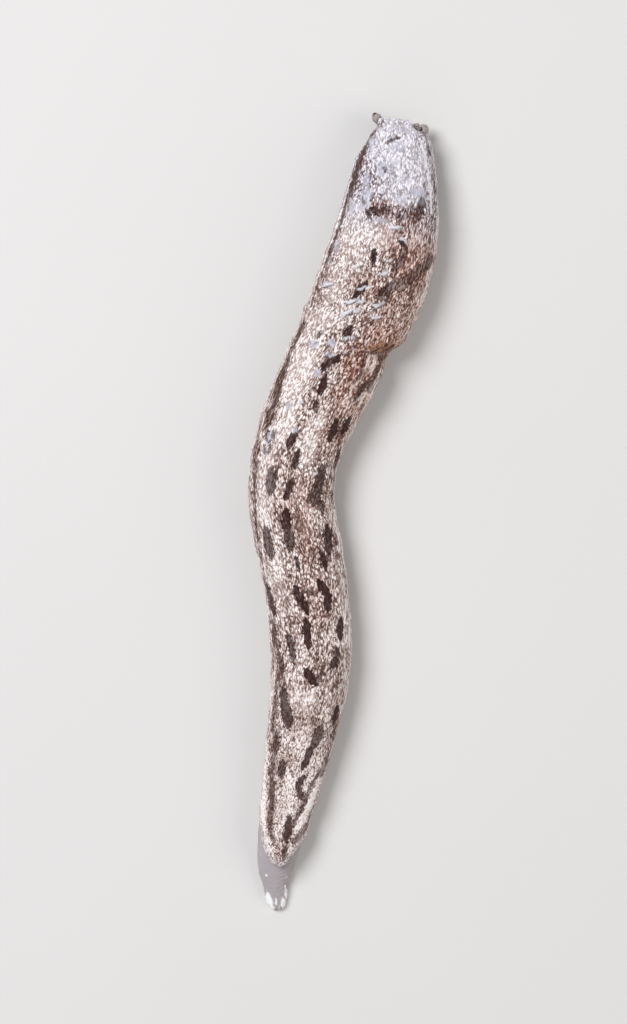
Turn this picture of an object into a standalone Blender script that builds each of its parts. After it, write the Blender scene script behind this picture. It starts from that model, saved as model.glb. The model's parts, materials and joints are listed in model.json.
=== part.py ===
"""A mantleslug of the genus Megapallifera, life size, at rest on a flat floor.

Metres, +Z up, the head towards +Y. Every ring of the body is worked out from
its place along one body line and from a few sizes given along that line.
"""

import math

import bmesh
import bpy
import numpy as np
from mathutils import Matrix, Vector

MM = 0.001
GAP = 0.3 * MM

# Body line seen from above, from the front of the mantle to the tip of the tail, in mm
BODY_LINE = [
    (4.52, 31.64),
    (3.82, 24.92),
    (2.54, 18.92),
    (0.24, 13.72),
    (-2.14, 8.92),
    (-3.84, 4.52),
    (-4.16, 0.52),
    (-3.32, -3.88),
    (-2.76, -8.28),
    (-2.66, -12.68),
    (-3.48, -18.28),
    (-4.68, -24.28),
    (-5.48, -29.48),
    (-5.24, -32.20),
]

# Sizes along the body line: (distance from the front, size), both in mm
HALF_WIDTH = [
    (0.35, 1.3), (1.0, 1.55), (1.5, 2.3), (2.2, 2.62), (3.7, 3.2), (5.5, 3.62), (9.0, 4.14),
    (13.0, 4.38), (17.0, 4.26), (21.0, 3.98), (28.0, 3.58), (44.0, 3.28), (50.5, 2.85), (56.0, 2.3),
    (60.0, 1.8), (62.7, 1.34), (63.5, 1.04), (64.3, 0.92), (64.9, 0.8), (65.3, 0.6), (65.6, 0.3),
]
# How much the right side is drawn in at the fold
RIGHT_PINCH = [
    (15.6, 0.0), (16.3, 0.02), (16.9, 0.18), (17.4, 0.36), (18.2, 0.56), (18.8, 0.53), (19.3, 0.38), (20.1, 0.22),
    (21.5, 0.1), (25.0, 0.0),
]
MANTLE_END_HALF_WIDTH = [
    (58.6, 2.05), (59.5, 1.74), (60.4, 1.39), (60.8, 1.17), (61.25, 0.9), (61.7, 0.56), (62.0, 0.17),
]
# How far the mantle's middle lies to the right of the body line
MANTLE_DRIFT = [
    (0.35, -0.36), (1.0, -0.2), (1.5, 0.16), (2.2, 0.14), (4.0, 0.0), (57.0, 0.0), (59.0, 0.12),
    (61.2, 0.18), (62.0, 0.3),
]
BACK_HEIGHT = [
    (0.35, 2.72), (0.6, 2.92), (1.5, 3.28), (4.0, 3.95), (8.0, 4.7), (13.0, 5.1), (19.0, 4.85),
    (28.0, 4.45), (44.0, 4.2), (50.0, 3.75), (55.0, 3.15), (59.0, 2.7), (61.0, 2.42), (62.0, 2.1),
]
LOWER_TOP = [
    (0.35, 1.96), (2.0, 2.08), (5.8, 2.05), (9.0, 1.7), (13.0, 1.55),
    (44.0, 1.5), (52.0, 1.7), (57.0, 1.82), (61.4, 1.66), (63.0, 1.33), (64.6, 0.86), (65.2, 0.66),
    (65.6, 0.46),
]
# How far the body under the mantle stays inside the mantle's outline
INSET = [(1.0, 0.42), (2.2, 0.85), (5.5, 0.95), (50.0, 0.9), (56.0, 0.6), (60.0, 0.2), (65.6, 0.06)]
LEDGE_HEIGHT = [(0.0, 1.0), (50.0, 1.0), (58.0, 0.8), (62.0, 0.62), (64.6, 0.42), (65.6, 0.24)]
HEAD_HALF_WIDTH = [(0.55, 1.02), (1.1, 1.22), (1.8, 1.46), (3.0, 1.96), (5.5, 2.6)]
HEAD_TOP = [(0.5, 1.4), (0.72, 1.68), (1.2, 1.92), (2.0, 2.04), (5.5, 2.05)]
# How far round its own arc the mantle's margin is lifted at the front, in degrees
MARGIN_LIFT = [(0.35, 55.0), (1.5, 46.0), (2.3, 14.0), (3.1, 0.0)]

# Where the long pieces are parted
MANTLE_CUTS = [0.35, 14.9, 29.6, 44.8, 62.0]
FOOT_CUTS = [1.95, 17.4, 35.0, 53.6, 65.6]
MANTLE_NAMES = ["mantle_front", "mantle_shoulder", "mantle_middle", "mantle_rear"]
FOOT_NAMES = ["foot_front", "foot_middle", "foot_rear", "tail"]

# Distance between rings: on plain lengths, where the skin folds, and where an end is rounded
PLAIN_STEP, FOLD_STEP, END_STEP = 0.92, 0.42, 0.252
ROUNDED_FRONT, ROUNDED_MANTLE, ROUNDED_TIP = 2.2, 58.8, 64.6

# Mantle section
MANTLE_STEPS = 18
MANTLE_SQUARENESS = 2.25
LIP_HEIGHT = 0.28
LIP_TUCK = 0.96
MARGIN_REACH = 0.95
NOSE_LENGTH, NOSE_SHARE = 0.12, 0.24

# Foot section: the flat sole, the fringe beside it and the ledge above
SOLE_SHARE = 0.84
FRINGE_SHARE = 0.97
FRINGE_SHOULDER_SHARE = 0.92
FRINGE_FOOT = 0.18
FRINGE_TOP = 0.52
FRINGE_FOOT_LIMIT, FRINGE_LIMIT, SHOULDER_LIMIT = 0.4, 0.7, 0.85
SHOULDER_DROP = 0.12
FOOT_ARC_STEPS = 8
# The front of the foot is rounded over this length, from this share of its width and height
FOOT_ROUNDING = 1.3
FRONT_WIDTH_SHARE, FRONT_HEIGHT_SHARE = 0.5, 0.6
# The fringe gets lower over this length before the tail's tip, down to this share
TIP_LENGTH, TIP_SHARE = 2.2, 0.55
SHELF_STEPS = (0.0, 0.15, 0.5)
SHELF_REST = 1.0
NECK_START = 5.8
NECK_WALL = 0.02

# Folds of the skin
WRINKLE_FROM, WRINKLE_TO = 13.0, 18.6
WRINKLE_PITCH = 0.98
WRINKLE_DEPTH = 0.11
WRINKLE_LEAN, WRINKLE_BOW = 1.2, 0.9
HOOD_WRINKLE_FROM, HOOD_WRINKLE_TO = 0.8, 6.0
HOOD_WRINKLE_PITCH = 1.15
HOOD_WRINKLE_DEPTH = 0.06
HOOD_WRINKLE_LEAN = 0.8
CREASE_START = 18.15
CREASE_SLANT = 2.3
CREASE_WIDTH = 0.56
CREASE_DEPTH = 0.46
CREASE_SWELL = 0.12
CREASE_SWELL_PLACE, CREASE_SWELL_SPREAD = 2.3, 1.6
# Slow unevenness of the back: its height, and its two waves along and across the body
UNEVENNESS = 0.07
UNEVEN_WAVES = ((0.83, 2.1), (1.37, -3.3))

# Head
HEAD_END = 5.5
SNOUT_START = 0.38
HEAD_FLOOR = 1.3
HEAD_EDGE_SHARE = 0.955
HEAD_FLOOR_SHARE = 0.86
CHIN_HEIGHT = 0.34
CHIN_END, THROAT_END = 1.1, 1.62
HEAD_STEPS = 20
MOUTH_HEIGHT = 0.62
MOUTH_HALF_WIDTH = 0.42
LIPS_HALF_WIDTH = 0.7
MOUTH_DEPTH = 0.22
# From the mouth's floor out over the lips to the cheeks: how far back, half width, lowest and highest
FACE = [
    (MOUTH_DEPTH, 0.34, 0.58, 0.66),
    (0.07, MOUTH_HALF_WIDTH, MOUTH_HEIGHT - 0.09, MOUTH_HEIGHT + 0.09),
    (0.0, (MOUTH_HALF_WIDTH + LIPS_HALF_WIDTH) / 2, MOUTH_HEIGHT - 0.17, MOUTH_HEIGHT + 0.18),
    (0.05, LIPS_HALF_WIDTH, MOUTH_HEIGHT - 0.24, MOUTH_HEIGHT + 0.28),
    (0.15, 0.77, CHIN_HEIGHT + 0.01, MOUTH_HEIGHT + 0.34),
    (0.13, 0.92, CHIN_HEIGHT, 1.26),
]
FACE_SQUARENESS, SNOUT_SQUARENESS = 2.0, 2.3
SNOUT_END = 0.8
HEAD_RINGS = [0.68, 0.9, CHIN_END, 1.3, 1.46, THROAT_END, 1.9, 2.5, 3.4, 4.5, HEAD_END]

# Upper tentacles: root (along, across, height), way (forward, right, up), length, radius of the bulb
# and the way from the bulb's middle to its eye
UPPER_TENTACLES = {
    "left": ((0.9, -1.4, 1.28), (0.8, -0.57, 0.1), 1.14, 0.41, (0.7, -0.62, 0.35)),
    "right": ((1.06, 1.4, 1.28), (0.28, 0.9, 0.24), 1.06, 0.46, (-0.12, -0.4, 0.9)),
}
UPPER_ROOT_RADIUS = 0.3
UPPER_ROOT_BEVEL = 0.07
WAIST_SHARE = 0.4
# The bulb starts this share of half a turn before its end
BULB_START, BULB_STEPS = 0.7, 6
UPPER_SEGMENTS, LOWER_SEGMENTS, EYE_SEGMENTS, EYE_STEPS = 14, 12, 12, 8
EYE_RADIUS = 0.18
EYE_GAP = 0.13

# Lower tentacles, the same on both sides: root, way, radius and length, and shares of these two
LOWER_TENTACLE_ROOT = (0.66, 1.2, 0.68)
LOWER_TENTACLE_WAY = (0.42, 0.88, -0.12)
LOWER_RADIUS = 0.25
LOWER_LENGTH = 0.5
LOWER_PROFILE = [(0.0, 0.94), (0.1, 1.0), (0.55, 0.94), (0.82, 0.74), (0.96, 0.4)]

# Breathing pore on the right side of the mantle
PORE_STATION = 3.3
PORE_HEIGHT = 1.95
PORE_SIZE = (0.34, 0.62, 0.3)
PORE_OUT = 0.06

COLOURS = {
    "mantle": ((0.62, 0.55, 0.50), 0.32),
    "foot": ((0.46, 0.41, 0.42), 0.30),
    "tail": ((0.50, 0.47, 0.50), 0.22),
    "head": ((0.33, 0.27, 0.23), 0.35),
    "tentacle": ((0.38, 0.34, 0.33), 0.32),
    "eye": ((0.01, 0.01, 0.012), 0.12),
}


def clear_scene():
    for item in list(bpy.data.objects):
        bpy.data.objects.remove(item, do_unlink=True)


def size_along(knots):
    """A smooth size along the body that never swings past its own knots."""
    x = np.array([k[0] for k in knots], float)
    y = np.array([k[1] for k in knots], float)
    step = np.diff(x)
    slope = np.diff(y) / step
    tangent = np.zeros(len(x))
    tangent[0], tangent[-1] = slope[0], slope[-1]
    for i in range(1, len(x) - 1):
        if slope[i - 1] * slope[i] > 0:
            left, right = 2 * step[i] + step[i - 1], step[i] + 2 * step[i - 1]
            tangent[i] = (left + right) / (left / slope[i - 1] + right / slope[i])

    def value(s):
        s = min(max(s, x[0]), x[-1])
        i = min(int(np.searchsorted(x, s, side="right")) - 1, len(x) - 2)
        t = (s - x[i]) / step[i]
        near = (1 + 2 * t) * (1 - t) ** 2 * y[i] + t * (1 - t) ** 2 * step[i] * tangent[i]
        return float(near + t * t * (3 - 2 * t) * y[i + 1] + t * t * (t - 1) * step[i] * tangent[i + 1])

    return value


def natural_spline(knots, values):
    """A curve of continuous bend through the values given at the knots."""
    count = len(knots)
    step = np.diff(knots)
    system, right = np.eye(count), np.zeros(count)
    for i in range(1, count - 1):
        system[i, i - 1:i + 2] = step[i - 1], 2 * (step[i - 1] + step[i]), step[i]
        right[i] = 6 * ((values[i + 1] - values[i]) / step[i] - (values[i] - values[i - 1]) / step[i - 1])
    bend = np.linalg.solve(system, right)

    def value(t):
        i = np.clip(np.searchsorted(knots, t) - 1, 0, count - 2)
        d = step[i]
        a, b = (knots[i + 1] - t) / d, (t - knots[i]) / d
        curve = (a**3 - a) * bend[i] + (b**3 - b) * bend[i + 1]
        return a * values[i] + b * values[i + 1] + curve * d * d / 6

    return value


class BodyLine:
    """The body line, read by the distance travelled along it."""

    SAMPLES = 4000

    def __init__(self, points):
        points = np.array(points, float)
        chord = np.r_[0.0, np.cumsum(np.hypot(*np.diff(points, axis=0).T))]
        fine = np.linspace(0.0, chord[-1], self.SAMPLES)
        self.x = natural_spline(chord, points[:, 0])(fine)
        self.y = natural_spline(chord, points[:, 1])(fine)
        self.travel = np.r_[0.0, np.cumsum(np.hypot(np.diff(self.x), np.diff(self.y)))]
        way = np.gradient(np.c_[self.x, self.y], axis=0)
        self.way = way / np.hypot(*way.T)[:, None]

    def frame(self, s):
        """The point at s and the direction from the head towards the tail."""
        inside = min(max(s, 0.0), self.travel[-1])
        way = [float(np.interp(inside, self.travel, self.way[:, k])) for k in (0, 1)]
        length = math.hypot(*way)
        way = (way[0] / length, way[1] / length)
        past = s - inside
        x = float(np.interp(inside, self.travel, self.x)) + past * way[0]
        y = float(np.interp(inside, self.travel, self.y)) + past * way[1]
        return x, y, way

    def place(self, s, across, height):
        """A point in metres: across is to the animal's right, height is above the floor."""
        x, y, way = self.frame(s)
        return Vector((x - way[1] * across, y + way[0] * across, height)) * MM


line = BodyLine(BODY_LINE)
half_width = size_along(HALF_WIDTH)
mantle_end = size_along(MANTLE_END_HALF_WIDTH)
mantle_drift = size_along(MANTLE_DRIFT)
margin_lift = size_along(MARGIN_LIFT)
right_pinch = size_along(RIGHT_PINCH)
head_top = size_along(HEAD_TOP)
back_height = size_along(BACK_HEIGHT)
lower_top = size_along(LOWER_TOP)
inset = size_along(INSET)
ledge_height = size_along(LEDGE_HEIGHT)
head_half_width = size_along(HEAD_HALF_WIDTH)
GAP_MM = GAP / MM


def ease(value, low, high):
    t = min(max((value - low) / (high - low), 0.0), 1.0)
    return t * t * (3 - 2 * t)


def hump(value, low, high):
    """Rises from 0 at low to 1 midway and falls to 0 at high."""
    if not low < value < high:
        return 0.0
    return math.sin(math.pi * (value - low) / (high - low)) ** 2


def pinched(s, points):
    """The same points with the right side drawn in, most at the margin."""
    share = 1.0 - right_pinch(s) / half_width(s)
    return [(x * share if x > 0 else x, z) for x, z in points]


def lower_half_width(s):
    if s <= HEAD_END:
        return head_half_width(s)
    return half_width(s) - inset(s)


def mantle_half_width(s):
    if s < MANTLE_END_HALF_WIDTH[0][0]:
        return half_width(s)
    return min(half_width(s), mantle_end(s))


def skin_relief(s, side):
    """Height of the mantle's folds, in mm, where side runs from -1 at the left margin to 1."""
    wrinkles = hump(s + WRINKLE_LEAN * side, WRINKLE_FROM, WRINKLE_TO)
    wave = 2 * math.pi * (s + WRINKLE_BOW * side * side) / WRINKLE_PITCH
    fold = WRINKLE_DEPTH * wrinkles * math.cos(wave)
    hood = hump(s, HOOD_WRINKLE_FROM, HOOD_WRINKLE_TO)
    wave = 2 * math.pi * (s - HOOD_WRINKLE_LEAN * side) / HOOD_WRINKLE_PITCH
    fold += HOOD_WRINKLE_DEPTH * hood * math.cos(wave)
    fold += UNEVENNESS * math.prod(math.sin(along * s + across * side) for along, across in UNEVEN_WAVES)
    reach = ease(side, 0.0, 1.0)
    offset = (s - CREASE_START - CREASE_SLANT * (1.0 - side)) / CREASE_WIDTH
    fold -= CREASE_DEPTH * reach * math.exp(-offset * offset)
    fold += CREASE_SWELL * reach * math.exp(-((offset + CREASE_SWELL_PLACE) ** 2) / CREASE_SWELL_SPREAD)
    return fold


def mantle_section(s):
    """Outer and inner lines of the mantle at s, each from the left margin to the right."""
    width = mantle_half_width(s)
    drift = mantle_drift(s)
    a, b = lower_half_width(s) + GAP_MM, lower_top(s) - ledge_height(s) + GAP_MM
    start = max(
        math.asin(GAP_MM / b),
        math.acos(min(MARGIN_REACH * width / a, 1.0)),
        math.radians(margin_lift(s)),
    )
    margin = ledge_height(s) + b * math.sin(start)
    power = 2 / MANTLE_SQUARENESS
    rise = back_height(s) - margin - LIP_HEIGHT
    outer, inner = [], []
    for i in range(MANTLE_STEPS + 1):
        turn = math.pi * (1 - i / MANTLE_STEPS)
        c, z = math.cos(turn), math.sin(turn)
        across = width * math.copysign(abs(c) ** power, c)
        height = margin + LIP_HEIGHT + rise * abs(z) ** power
        fold = skin_relief(s, across / width)
        outer.append((drift + across + fold * c, height + fold * z * ease(z, 0.0, 0.3)))
        turn = start + (math.pi - 2 * start) * (1 - i / MANTLE_STEPS)
        inner.append((drift + a * math.cos(turn), ledge_height(s) + b * math.sin(turn)))
    lips = [(drift + side * LIP_TUCK * width, margin) for side in (-1, 1)]
    return pinched(s, outer), pinched(s, inner), pinched(s, lips)


def foot_section(s, full):
    """Upper and sole lines of the foot at s; full is False on the shelf under the head."""
    into = min(max((s - FOOT_CUTS[0]) / FOOT_ROUNDING, 0.0), 1.0)
    rounding = math.sqrt(into * (2 - into))
    squeeze = TIP_SHARE + (1 - TIP_SHARE) * ease(FOOT_CUTS[-1] - s, 0.0, TIP_LENGTH)
    tall = FRONT_HEIGHT_SHARE + (1 - FRONT_HEIGHT_SHARE) * rounding
    width = half_width(s) * (FRONT_WIDTH_SHARE + (1 - FRONT_WIDTH_SHARE) * rounding)
    ledge = ledge_height(s) * tall
    a = min(lower_half_width(s), MARGIN_REACH * width)
    b = lower_top(s) - ledge if full else 0.0
    shoulder = max(FRINGE_SHOULDER_SHARE * width, (FRINGE_SHARE * width + a) / 2)
    fringe = [
        (FRINGE_SHARE * width, min(FRINGE_FOOT * squeeze, FRINGE_FOOT_LIMIT * ledge)),
        (FRINGE_SHARE * width, min(FRINGE_TOP * squeeze * tall, FRINGE_LIMIT * ledge)),
        (shoulder, max(ledge - SHOULDER_DROP * squeeze, SHOULDER_LIMIT * ledge)),
    ]
    upper = [(-x, z) for x, z in fringe]
    for i in range(FOOT_ARC_STEPS + 1):
        turn = math.pi * (1 - i / FOOT_ARC_STEPS)
        upper.append((a * math.cos(turn), ledge + b * math.sin(turn)))
    upper += [(x, z) for x, z in reversed(fringe)]
    last = len(upper) - 1
    sole = [(SOLE_SHARE * width * (2 * i / last - 1), 0.0) for i in range(last + 1)]
    return pinched(s, upper), pinched(s, sole)


def stations(start, end):
    """Distances along the body at which rings are set, closer where the skin folds."""
    marks = [start]
    while marks[-1] < end - 1e-9:
        s = marks[-1]
        folded = WRINKLE_FROM - CREASE_WIDTH < s < CREASE_START + CREASE_SLANT
        at_end = s < ROUNDED_FRONT or ROUNDED_MANTLE < s < MANTLE_CUTS[-1] or s > ROUNDED_TIP
        marks.append(s + (END_STEP if at_end else FOLD_STEP if folded else PLAIN_STEP))
    scale = (end - start) / (marks[-1] - start)
    return [start + (s - start) * scale for s in marks]


def turn_outwards(bm):
    bmesh.ops.recalc_face_normals(bm, faces=bm.faces)
    if bm.calc_volume(signed=True) < 0:
        bmesh.ops.reverse_faces(bm, faces=bm.faces)


def finish_mesh(name, bm, origin):
    """Makes an object whose origin is at the given point, from a mesh in world metres."""
    turn_outwards(bm)
    bmesh.ops.translate(bm, verts=bm.verts, vec=-origin)
    mesh = bpy.data.meshes.new(name)
    bm.to_mesh(mesh)
    bm.free()
    mesh.shade_smooth()
    item = bpy.data.objects.new(name, mesh)
    item.location = origin
    bpy.context.collection.objects.link(item)
    return item


def give_material(item, kind):
    colour, roughness = COLOURS[kind]
    material = bpy.data.materials.new(item.name)
    material.use_nodes = True
    shader = material.node_tree.nodes["Principled BSDF"]
    shader.inputs["Base Color"].default_value = (*colour, 1.0)
    shader.inputs["Roughness"].default_value = roughness
    shader.inputs["Metallic"].default_value = 0.0
    item.data.materials.append(material)


def strip_between(bm, one, other):
    for i in range(len(one) - 1):
        bm.faces.new((one[i], one[i + 1], other[i + 1], other[i]))


def loft_sheet(name, marks, sections, kind):
    """A closed body from pairs of lines, an upper and a lower one, set at each station."""
    bm = bmesh.new()
    rows = []
    for s, (upper, lower, edges) in zip(marks, sections):
        top = [bm.verts.new(line.place(s, x, z)) for x, z in upper]
        bottom = [bm.verts.new(line.place(s, x, z)) for x, z in lower]
        rim = [bm.verts.new(line.place(s, x, z)) for x, z in edges]
        rows.append((top, bottom, rim))
    for (top, bottom, rim), (next_top, next_bottom, next_rim) in zip(rows, rows[1:]):
        strip_between(bm, top, next_top)
        strip_between(bm, next_bottom, bottom)
        for side, end in ((0, 0), (1, -1)):
            chain = [top[end], *rim[side:side + 1], bottom[end]]
            next_chain = [next_top[end], *next_rim[side:side + 1], next_bottom[end]]
            strip_between(bm, chain, next_chain)
    for top, bottom, rim in (rows[0], rows[-1]):
        strip_between(bm, top, bottom)
        for side, end in ((0, 0), (1, -1)):
            if rim:
                bm.faces.new((top[end], rim[side], bottom[end]))
    origin = line.place(marks[0], 0.0, 0.0)
    item = finish_mesh(name, bm, origin)
    give_material(item, kind)
    return item


def round_rim(section, share):
    """The same section drawn in towards its own middle, for a rounded end."""
    upper, lower, edges = section
    drawn_upper, drawn_lower = [], []
    for (x1, z1), (x2, z2) in zip(upper, lower):
        drawn_upper.append((x1 + (x2 - x1) * share, z1 + (z2 - z1) * share))
        drawn_lower.append((x2 + (x1 - x2) * share, z2 + (z1 - z2) * share))
    drawn_edges = []
    for (x, z), near, far in zip(edges, (upper[0], upper[-1]), (lower[0], lower[-1])):
        middle = ((near[0] + far[0]) / 2, (near[1] + far[1]) / 2)
        drawn_edges.append((x + (middle[0] - x) * share, z + (middle[1] - z) * share))
    return drawn_upper, drawn_lower, drawn_edges


def build_mantle():
    pieces = []
    for i, name in enumerate(MANTLE_NAMES):
        start = MANTLE_CUTS[i] + (GAP_MM / 2 if i else 0.0)
        end = MANTLE_CUTS[i + 1] - (GAP_MM / 2 if i < len(MANTLE_NAMES) - 1 else 0.0)
        marks = stations(start, end)
        sections = [mantle_section(s) for s in marks]
        if i == 0:
            marks.insert(0, start - NOSE_LENGTH)
            sections.insert(0, round_rim(sections[0], NOSE_SHARE))
        pieces.append(loft_sheet(name, marks, sections, "mantle"))
    return pieces


def build_foot():
    pieces = []
    for i, name in enumerate(FOOT_NAMES):
        start = FOOT_CUTS[i] + (GAP_MM / 2 if i else 0.0)
        end = FOOT_CUTS[i + 1] - (GAP_MM / 2 if i < len(FOOT_NAMES) - 1 else 0.0)
        if i == 0:
            shelf = [start + step for step in SHELF_STEPS]
            shelf += stations(start + SHELF_REST, NECK_START - NECK_WALL)
            marks = shelf + stations(NECK_START, end)
        else:
            shelf = []
            marks = stations(start, end)
        sections = [(*foot_section(s, k >= len(shelf)), []) for k, s in enumerate(marks)]
        pieces.append(loft_sheet(name, marks, sections, "tail" if name == "tail" else "foot"))
    return pieces


def snout_ring(half, low, high, squareness):
    """A rounded ring, from its half width and its lowest and highest points."""
    middle, tall = (low + high) / 2, (high - low) / 2
    power = 2 / squareness
    ring = []
    for i in range(HEAD_STEPS):
        turn = 2 * math.pi * i / HEAD_STEPS
        c, z = math.cos(turn), math.sin(turn)
        across = half * math.copysign(abs(c) ** power, c)
        ring.append((across, middle + tall * math.copysign(abs(z) ** power, z)))
    return ring


def neck_ring(s):
    """A ring of the neck: an arc that fits under the mantle, and a flat floor over the foot."""
    a, base = lower_half_width(s), ledge_height(s)
    b = head_top(s) - base
    half = HEAD_STEPS // 2
    ring = [(HEAD_EDGE_SHARE * a, HEAD_FLOOR)]
    for i in range(1, half):
        turn = math.pi * i / half
        ring.append((a * math.cos(turn), max(base + b * math.sin(turn), HEAD_FLOOR)))
    ring.append((-HEAD_EDGE_SHARE * a, HEAD_FLOOR))
    for i in range(1, half):
        ring.append((HEAD_FLOOR_SHARE * a * (2 * i / half - 1), HEAD_FLOOR))
    return ring


def head_ring(s):
    """A ring between the snout and the neck."""
    low = CHIN_HEIGHT + (HEAD_FLOOR - CHIN_HEIGHT) * ease(s, CHIN_END, THROAT_END)
    share = ease(s, SNOUT_END, THROAT_END)
    snout = snout_ring(head_half_width(s), low, head_top(s), SNOUT_SQUARENESS)
    pairs = zip(snout, neck_ring(s))
    return [(x1 + (x2 - x1) * share, z1 + (z2 - z1) * share) for (x1, z1), (x2, z2) in pairs]


def build_head():
    """Snout with lips round the mouth, and the neck under the mantle's front."""
    placed = [
        (SNOUT_START + back, snout_ring(half, low, high, FACE_SQUARENESS)) for back, half, low, high in FACE
    ]
    placed += [(s, head_ring(s)) for s in HEAD_RINGS]
    bm = bmesh.new()
    rows = [[bm.verts.new(line.place(s, x, z)) for x, z in ring] for s, ring in placed]
    for one, other in zip(rows, rows[1:]):
        strip_between(bm, one + one[:1], other + other[:1])
    bm.faces.new(rows[0])
    bm.faces.new(rows[-1])
    item = finish_mesh("head", bm, line.place(SNOUT_START, 0.0, 0.0))
    give_material(item, "head")
    return item


def turned(name, profile, segments, root, aim, kind):
    """A body turned round its own axis from (distance, radius) pairs, set at root along aim."""
    bm = bmesh.new()
    rows = []
    for distance, radius in profile[1:-1]:
        row = []
        for i in range(segments):
            turn = 2 * math.pi * i / segments
            spot = Vector((radius * math.cos(turn), radius * math.sin(turn), distance))
            row.append(bm.verts.new(spot * MM))
        rows.append(row)
    first = bm.verts.new((0.0, 0.0, profile[0][0] * MM))
    last = bm.verts.new((0.0, 0.0, profile[-1][0] * MM))
    for one, other in zip(rows, rows[1:]):
        strip_between(bm, one + one[:1], other + other[:1])
    for i in range(segments):
        j = (i + 1) % segments
        bm.faces.new((first, rows[0][j], rows[0][i]))
        bm.faces.new((last, rows[-1][i], rows[-1][j]))
    turn_outwards(bm)
    mesh = bpy.data.meshes.new(name)
    bm.to_mesh(mesh)
    bm.free()
    mesh.shade_smooth()
    item = bpy.data.objects.new(name, mesh)
    item.rotation_mode = "QUATERNION"
    item.rotation_quaternion = aim.to_track_quat("Z", "Y")
    item.location = root
    bpy.context.collection.objects.link(item)
    give_material(item, kind)
    return item


def heading(forward, right, up):
    """A direction given in the head's own forward, right and up."""
    way = line.frame(0.0)[2]
    return Vector((-way[0] * forward - way[1] * right, -way[1] * forward + way[0] * right, up)).normalized()


def upper_profile(length, bulb):
    """Root, waist and swollen, rounded end."""
    root, middle = UPPER_ROOT_RADIUS, length - bulb
    profile = [
        (0.0, 0.0), (0.0, 0.9 * root), (UPPER_ROOT_BEVEL, root), (WAIST_SHARE * middle, root),
    ]
    for i in range(BULB_STEPS + 1):
        turn = math.pi * BULB_START * (1 - i / BULB_STEPS)
        profile.append((middle + bulb * math.cos(turn), bulb * math.sin(turn)))
    return profile


def ball_profile(radius, steps):
    turns = [math.pi * i / steps for i in range(steps + 1)]
    return [(-radius * math.cos(turn), radius * math.sin(turn)) for turn in turns]


def make_cutter(name, radii, matrix):
    """A hidden ellipsoid that takes its own shape out of another piece."""
    bm = bmesh.new()
    bmesh.ops.create_icosphere(bm, subdivisions=2, radius=1.0)
    bmesh.ops.scale(bm, vec=Vector(radii) * MM, verts=bm.verts)
    bmesh.ops.transform(bm, matrix=matrix, verts=bm.verts)
    mesh = bpy.data.meshes.new(name)
    bm.to_mesh(mesh)
    bm.free()
    cutter = bpy.data.objects.new(name, mesh)
    cutter.hide_render = True
    cutter.display_type = "WIRE"
    bpy.context.collection.objects.link(cutter)
    return cutter


def cut_with(item, cutter):
    cut = item.modifiers.new(cutter.name, "BOOLEAN")
    cut.operation = "DIFFERENCE"
    cut.solver = "EXACT"
    cut.object = cutter


def build_tentacles_and_eyes():
    """The two upper tentacles, nearly drawn in, each with its eye in a pit, and the two lower ones."""
    pieces, cutters = [], []
    pit = EYE_RADIUS + EYE_GAP
    for side, (place, way, length, bulb, eye_way) in UPPER_TENTACLES.items():
        root, aim, look = line.place(*place), heading(*way), heading(*eye_way)
        profile = upper_profile(length, bulb)
        tentacle = turned(f"tentacle_upper_{side}", profile, UPPER_SEGMENTS, root, aim, "tentacle")
        middle = root + aim * (length - bulb) * MM
        centre = middle + look * (bulb - 0.5 * EYE_RADIUS) * MM
        ball = ball_profile(EYE_RADIUS, EYE_STEPS)
        eye = turned(f"eye_{side}", ball, EYE_SEGMENTS, centre, look, "eye")
        cutter = make_cutter(f"eye_pit_{side}", (pit, pit, pit), Matrix.Translation(centre))
        cut_with(tentacle, cutter)
        pieces += [tentacle, eye]
        cutters.append(cutter)
    rings = [(share * LOWER_LENGTH, wide * LOWER_RADIUS) for share, wide in LOWER_PROFILE]
    profile = [(0.0, 0.0), *rings, (LOWER_LENGTH, 0.0)]
    along, across, height = LOWER_TENTACLE_ROOT
    forward, outward, up = LOWER_TENTACLE_WAY
    for side, sign in (("left", -1), ("right", 1)):
        root, aim = line.place(along, sign * across, height), heading(forward, sign * outward, up)
        pieces.append(turned(f"tentacle_lower_{side}", profile, LOWER_SEGMENTS, root, aim, "tentacle"))
    return pieces, cutters


def cut_breathing_pore(mantle_front):
    """A shallow slot in the right flank of the mantle's front."""
    centre = line.place(PORE_STATION, half_width(PORE_STATION) + PORE_OUT, PORE_HEIGHT)
    way = line.frame(PORE_STATION)[2]
    turn = Matrix.Rotation(math.atan2(way[1], way[0]) + math.pi / 2, 4, "Z")
    cutter = make_cutter("breathing_pore", PORE_SIZE, Matrix.Translation(centre) @ turn)
    cut_with(mantle_front, cutter)
    return cutter


def centre_on_origin(pieces, cutters):
    """Hangs every piece on one empty, set so that the plan's box is centred on the origin."""
    bpy.context.view_layer.update()
    corners = [item.matrix_world @ vertex.co for item in pieces for vertex in item.data.vertices]
    low = Vector(min(c[k] for c in corners) for k in range(3))
    high = Vector(max(c[k] for c in corners) for k in range(3))
    root = bpy.data.objects.new("slug", None)
    bpy.context.collection.objects.link(root)
    root.location = (-(low.x + high.x) / 2, -(low.y + high.y) / 2, -low.z)
    for item in [*pieces, *cutters]:
        item.parent = root


def main():
    clear_scene()
    mantle = build_mantle()
    foot = build_foot()
    head = build_head()
    tentacles, cutters = build_tentacles_and_eyes()
    cutters.append(cut_breathing_pore(mantle[0]))
    centre_on_origin([*mantle, *foot, head, *tentacles], cutters)


main()
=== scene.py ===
"""A life-size mantleslug at rest on a pale floor, seen from above.

The skin is one mesh. It is modelled in millimetres from plain forms, worked over like clay
and brought down to life size at the end. The eyes are pieces of their own.
"""

import itertools
import json
import math

import bpy
import numpy as np
from mathutils import Matrix, Vector
from mathutils.bvhtree import BVHTree

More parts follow.
